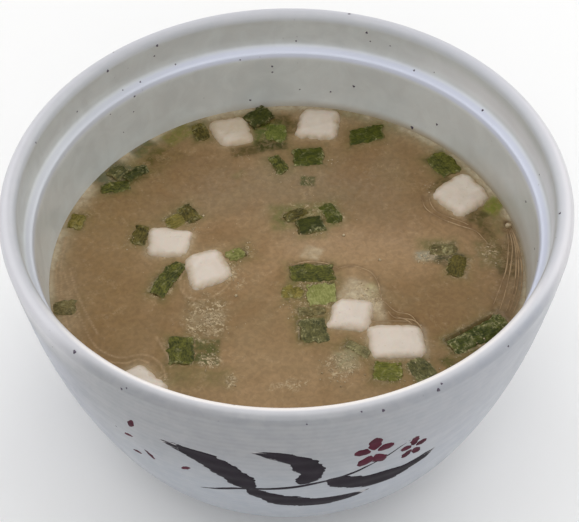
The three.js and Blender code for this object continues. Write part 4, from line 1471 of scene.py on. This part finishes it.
lines = bpy.data.curves.new("paste_threads", "CURVE")
lines.dimensions = "3D"
for line in THREADS:
    run = smooth_line(line, 12 * len(line))
    spline = lines.splines.new("POLY")
    spline.points.add(len(run) - 1)
    for point, (x, y) in zip(spline.points, run):
        point.co = (x, y, SOUP_LEVEL - THREAD_SINK + wall_climb(x, y), 1)
threads = bpy.data.objects.new("paste_threads", lines)
bpy.context.scene.collection.objects.link(threads)
threads = grown(threads, thread_tree(), {"Radius": THREAD_RADIUS, "Material": thread_surface()})
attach(threads, "root")

draw = np.random.default_rng(7)
spots, sizes = [], []
for middle_x, middle_y, spread_x, spread_y, count in BUBBLE_CLUSTERS:
    for a, b in draw.normal(size=(count, 2)):
        x, y = middle_x + a * spread_x * BUBBLES_CLOSE, middle_y + b * spread_y * BUBBLES_CLOSE
        spots.append((x, y))
    sizes += [BUBBLE_SMALL + (BUBBLE_LARGE - BUBBLE_SMALL) * part**3 for part in draw.random(count)]
for part, turn in draw.random((STRAY_BUBBLES, 2)):
    reach, turn = STRAY_REACH * math.sqrt(part), 2 * math.pi * turn
    spots.append((reach * math.cos(turn), reach * math.sin(turn)))
    sizes.append(BUBBLE_SMALL * STRAY_SIZE)
spots += [(x, y) for x, y, _ in BIG_BUBBLES]
sizes += [radius * MM for _, _, radius in BIG_BUBBLES]
spots = np.array(spots) * MM
sizes = np.array(sizes)
floating = np.hypot(spots[:, 0], spots[:, 1]) < soup_edge - CLEAR_OF_WALL
for name, outline in outlines.items():
    clear = CLEAR_OF_CUBE if name in cubes else -OVER_SLICE
    floating &= outline_distance(spots[:, 0], spots[:, 1], outline) > clear
spots, sizes = spots[floating], sizes[floating]
heights = SOUP_LEVEL + BUBBLE_FLOAT * sizes
for name in slices:
    heights[outline_distance(spots[:, 0], spots[:, 1], outlines[name]) < 0] += SLICE_HIGH
seeds = mesh_object("air_bubbles", np.column_stack([spots, heights]), [], [])
mark(seeds.data, "size", sizes)
bubbles = grown(seeds, bubble_tree(), {"Material": bubble_surface()})
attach(bubbles, "root")


# ---------------------------------------------------------------------------------------------
# The table, the light and the camera. A pale, plain table top in a pale room, with a wide dome of
# soft boxes round and above it.
# ---------------------------------------------------------------------------------------------

TABLE_HALF = 3.0
TABLE_TONE = colour(246, 246, 246)
ROOM_TONE = (1.0, 0.99, 0.975, 1.0)
ROOM_LIGHT = 0.35
LAMP_FAR = 1.1
LAMP_SIZE = 0.9
LAMPS_MIDDLE = Vector((0, 0, 0.05))  # the point that they stand round
# The soft boxes that make up the sky: the way to each one from the bowl, and its power in watts.
SOFT_BOXES = [
    ((0, 0, 1), 3.25),
    ((-0.71, 0, 0.71), 1.1),
    ((0, -0.71, 0.71), 3.1),
    ((0.71, 0, 0.71), 0.85),
    ((0.55, 0.55, 0.63), 3.2),
    ((-0.55, 0.55, 0.63), 1.9),
    ((0, 0.71, 0.71), 0.6),
]
CAMERA_RISE = math.radians(45.47)  # of the line from the rim's middle to the camera
CAMERA_FAR = 388.6 * MM
CAMERA_DIP = 0.043  # how much further down the camera looks, in radians
CAMERA_YAW = 0.002
CAMERA_ROLL = -0.015
CAMERA_LENS = 104.4
CAMERA_SENSOR = 36.0
CAMERA_NEAR = 0.02

table_top = mesh_object(
    "table_top",
    [(x * TABLE_HALF, y * TABLE_HALF, 0) for x, y in ((-1, -1), (1, -1), (1, 1), (-1, 1))],
    [(0, 1, 2, 3)],
    [surface("pale_table", Base_Color=TABLE_TONE, Roughness=0.9)[0]],
)

world = bpy.data.worlds.new("pale_room")
world.use_nodes = True
room = world.node_tree.nodes["Background"].inputs
room["Color"].default_value = ROOM_TONE
room["Strength"].default_value = ROOM_LIGHT
bpy.context.scene.world = world
bpy.context.scene.view_settings.view_transform = "Standard"

for number, (way, power) in enumerate(SOFT_BOXES):
    lamp = bpy.data.lights.new(f"soft_box_{number}", "AREA")
    lamp.shape = "DISK"
    lamp.size = LAMP_SIZE
    lamp.energy = power
    soft_box = bpy.data.objects.new(f"soft_box_{number}", lamp)
    soft_box.location = Vector(way).normalized() * LAMP_FAR + LAMPS_MIDDLE
    soft_box.rotation_euler = Vector(way).to_track_quat("Z", "Y").to_euler()
    bpy.context.scene.collection.objects.link(soft_box)

camera = bpy.data.objects.new("camera", bpy.data.cameras.new("camera"))
camera.data.lens = CAMERA_LENS
camera.data.sensor_width = CAMERA_SENSOR
camera.data.sensor_fit = "HORIZONTAL"
camera.data.clip_start = CAMERA_NEAR
look_down = CAMERA_RISE + CAMERA_DIP
ahead = Vector((
    math.sin(CAMERA_YAW) * math.cos(look_down),
    math.cos(CAMERA_YAW) * math.cos(look_down),
    -math.sin(look_down),
))
right = ahead.cross(Vector((0, 0, 1))).normalized()
upward = right.cross(ahead)
leaning_right = math.cos(CAMERA_ROLL) * right + math.sin(CAMERA_ROLL) * upward
leaning_up = math.cos(CAMERA_ROLL) * upward - math.sin(CAMERA_ROLL) * right
stand = (0, -CAMERA_FAR * math.cos(CAMERA_RISE), BOWL_HEIGHT + CAMERA_FAR * math.sin(CAMERA_RISE))
turn = Matrix((leaning_right, leaning_up, -ahead)).transposed().to_4x4()
camera.matrix_world = Matrix.Translation(stand) @ turn
bpy.context.scene.collection.objects.link(camera)
bpy.context.scene.camera = camera
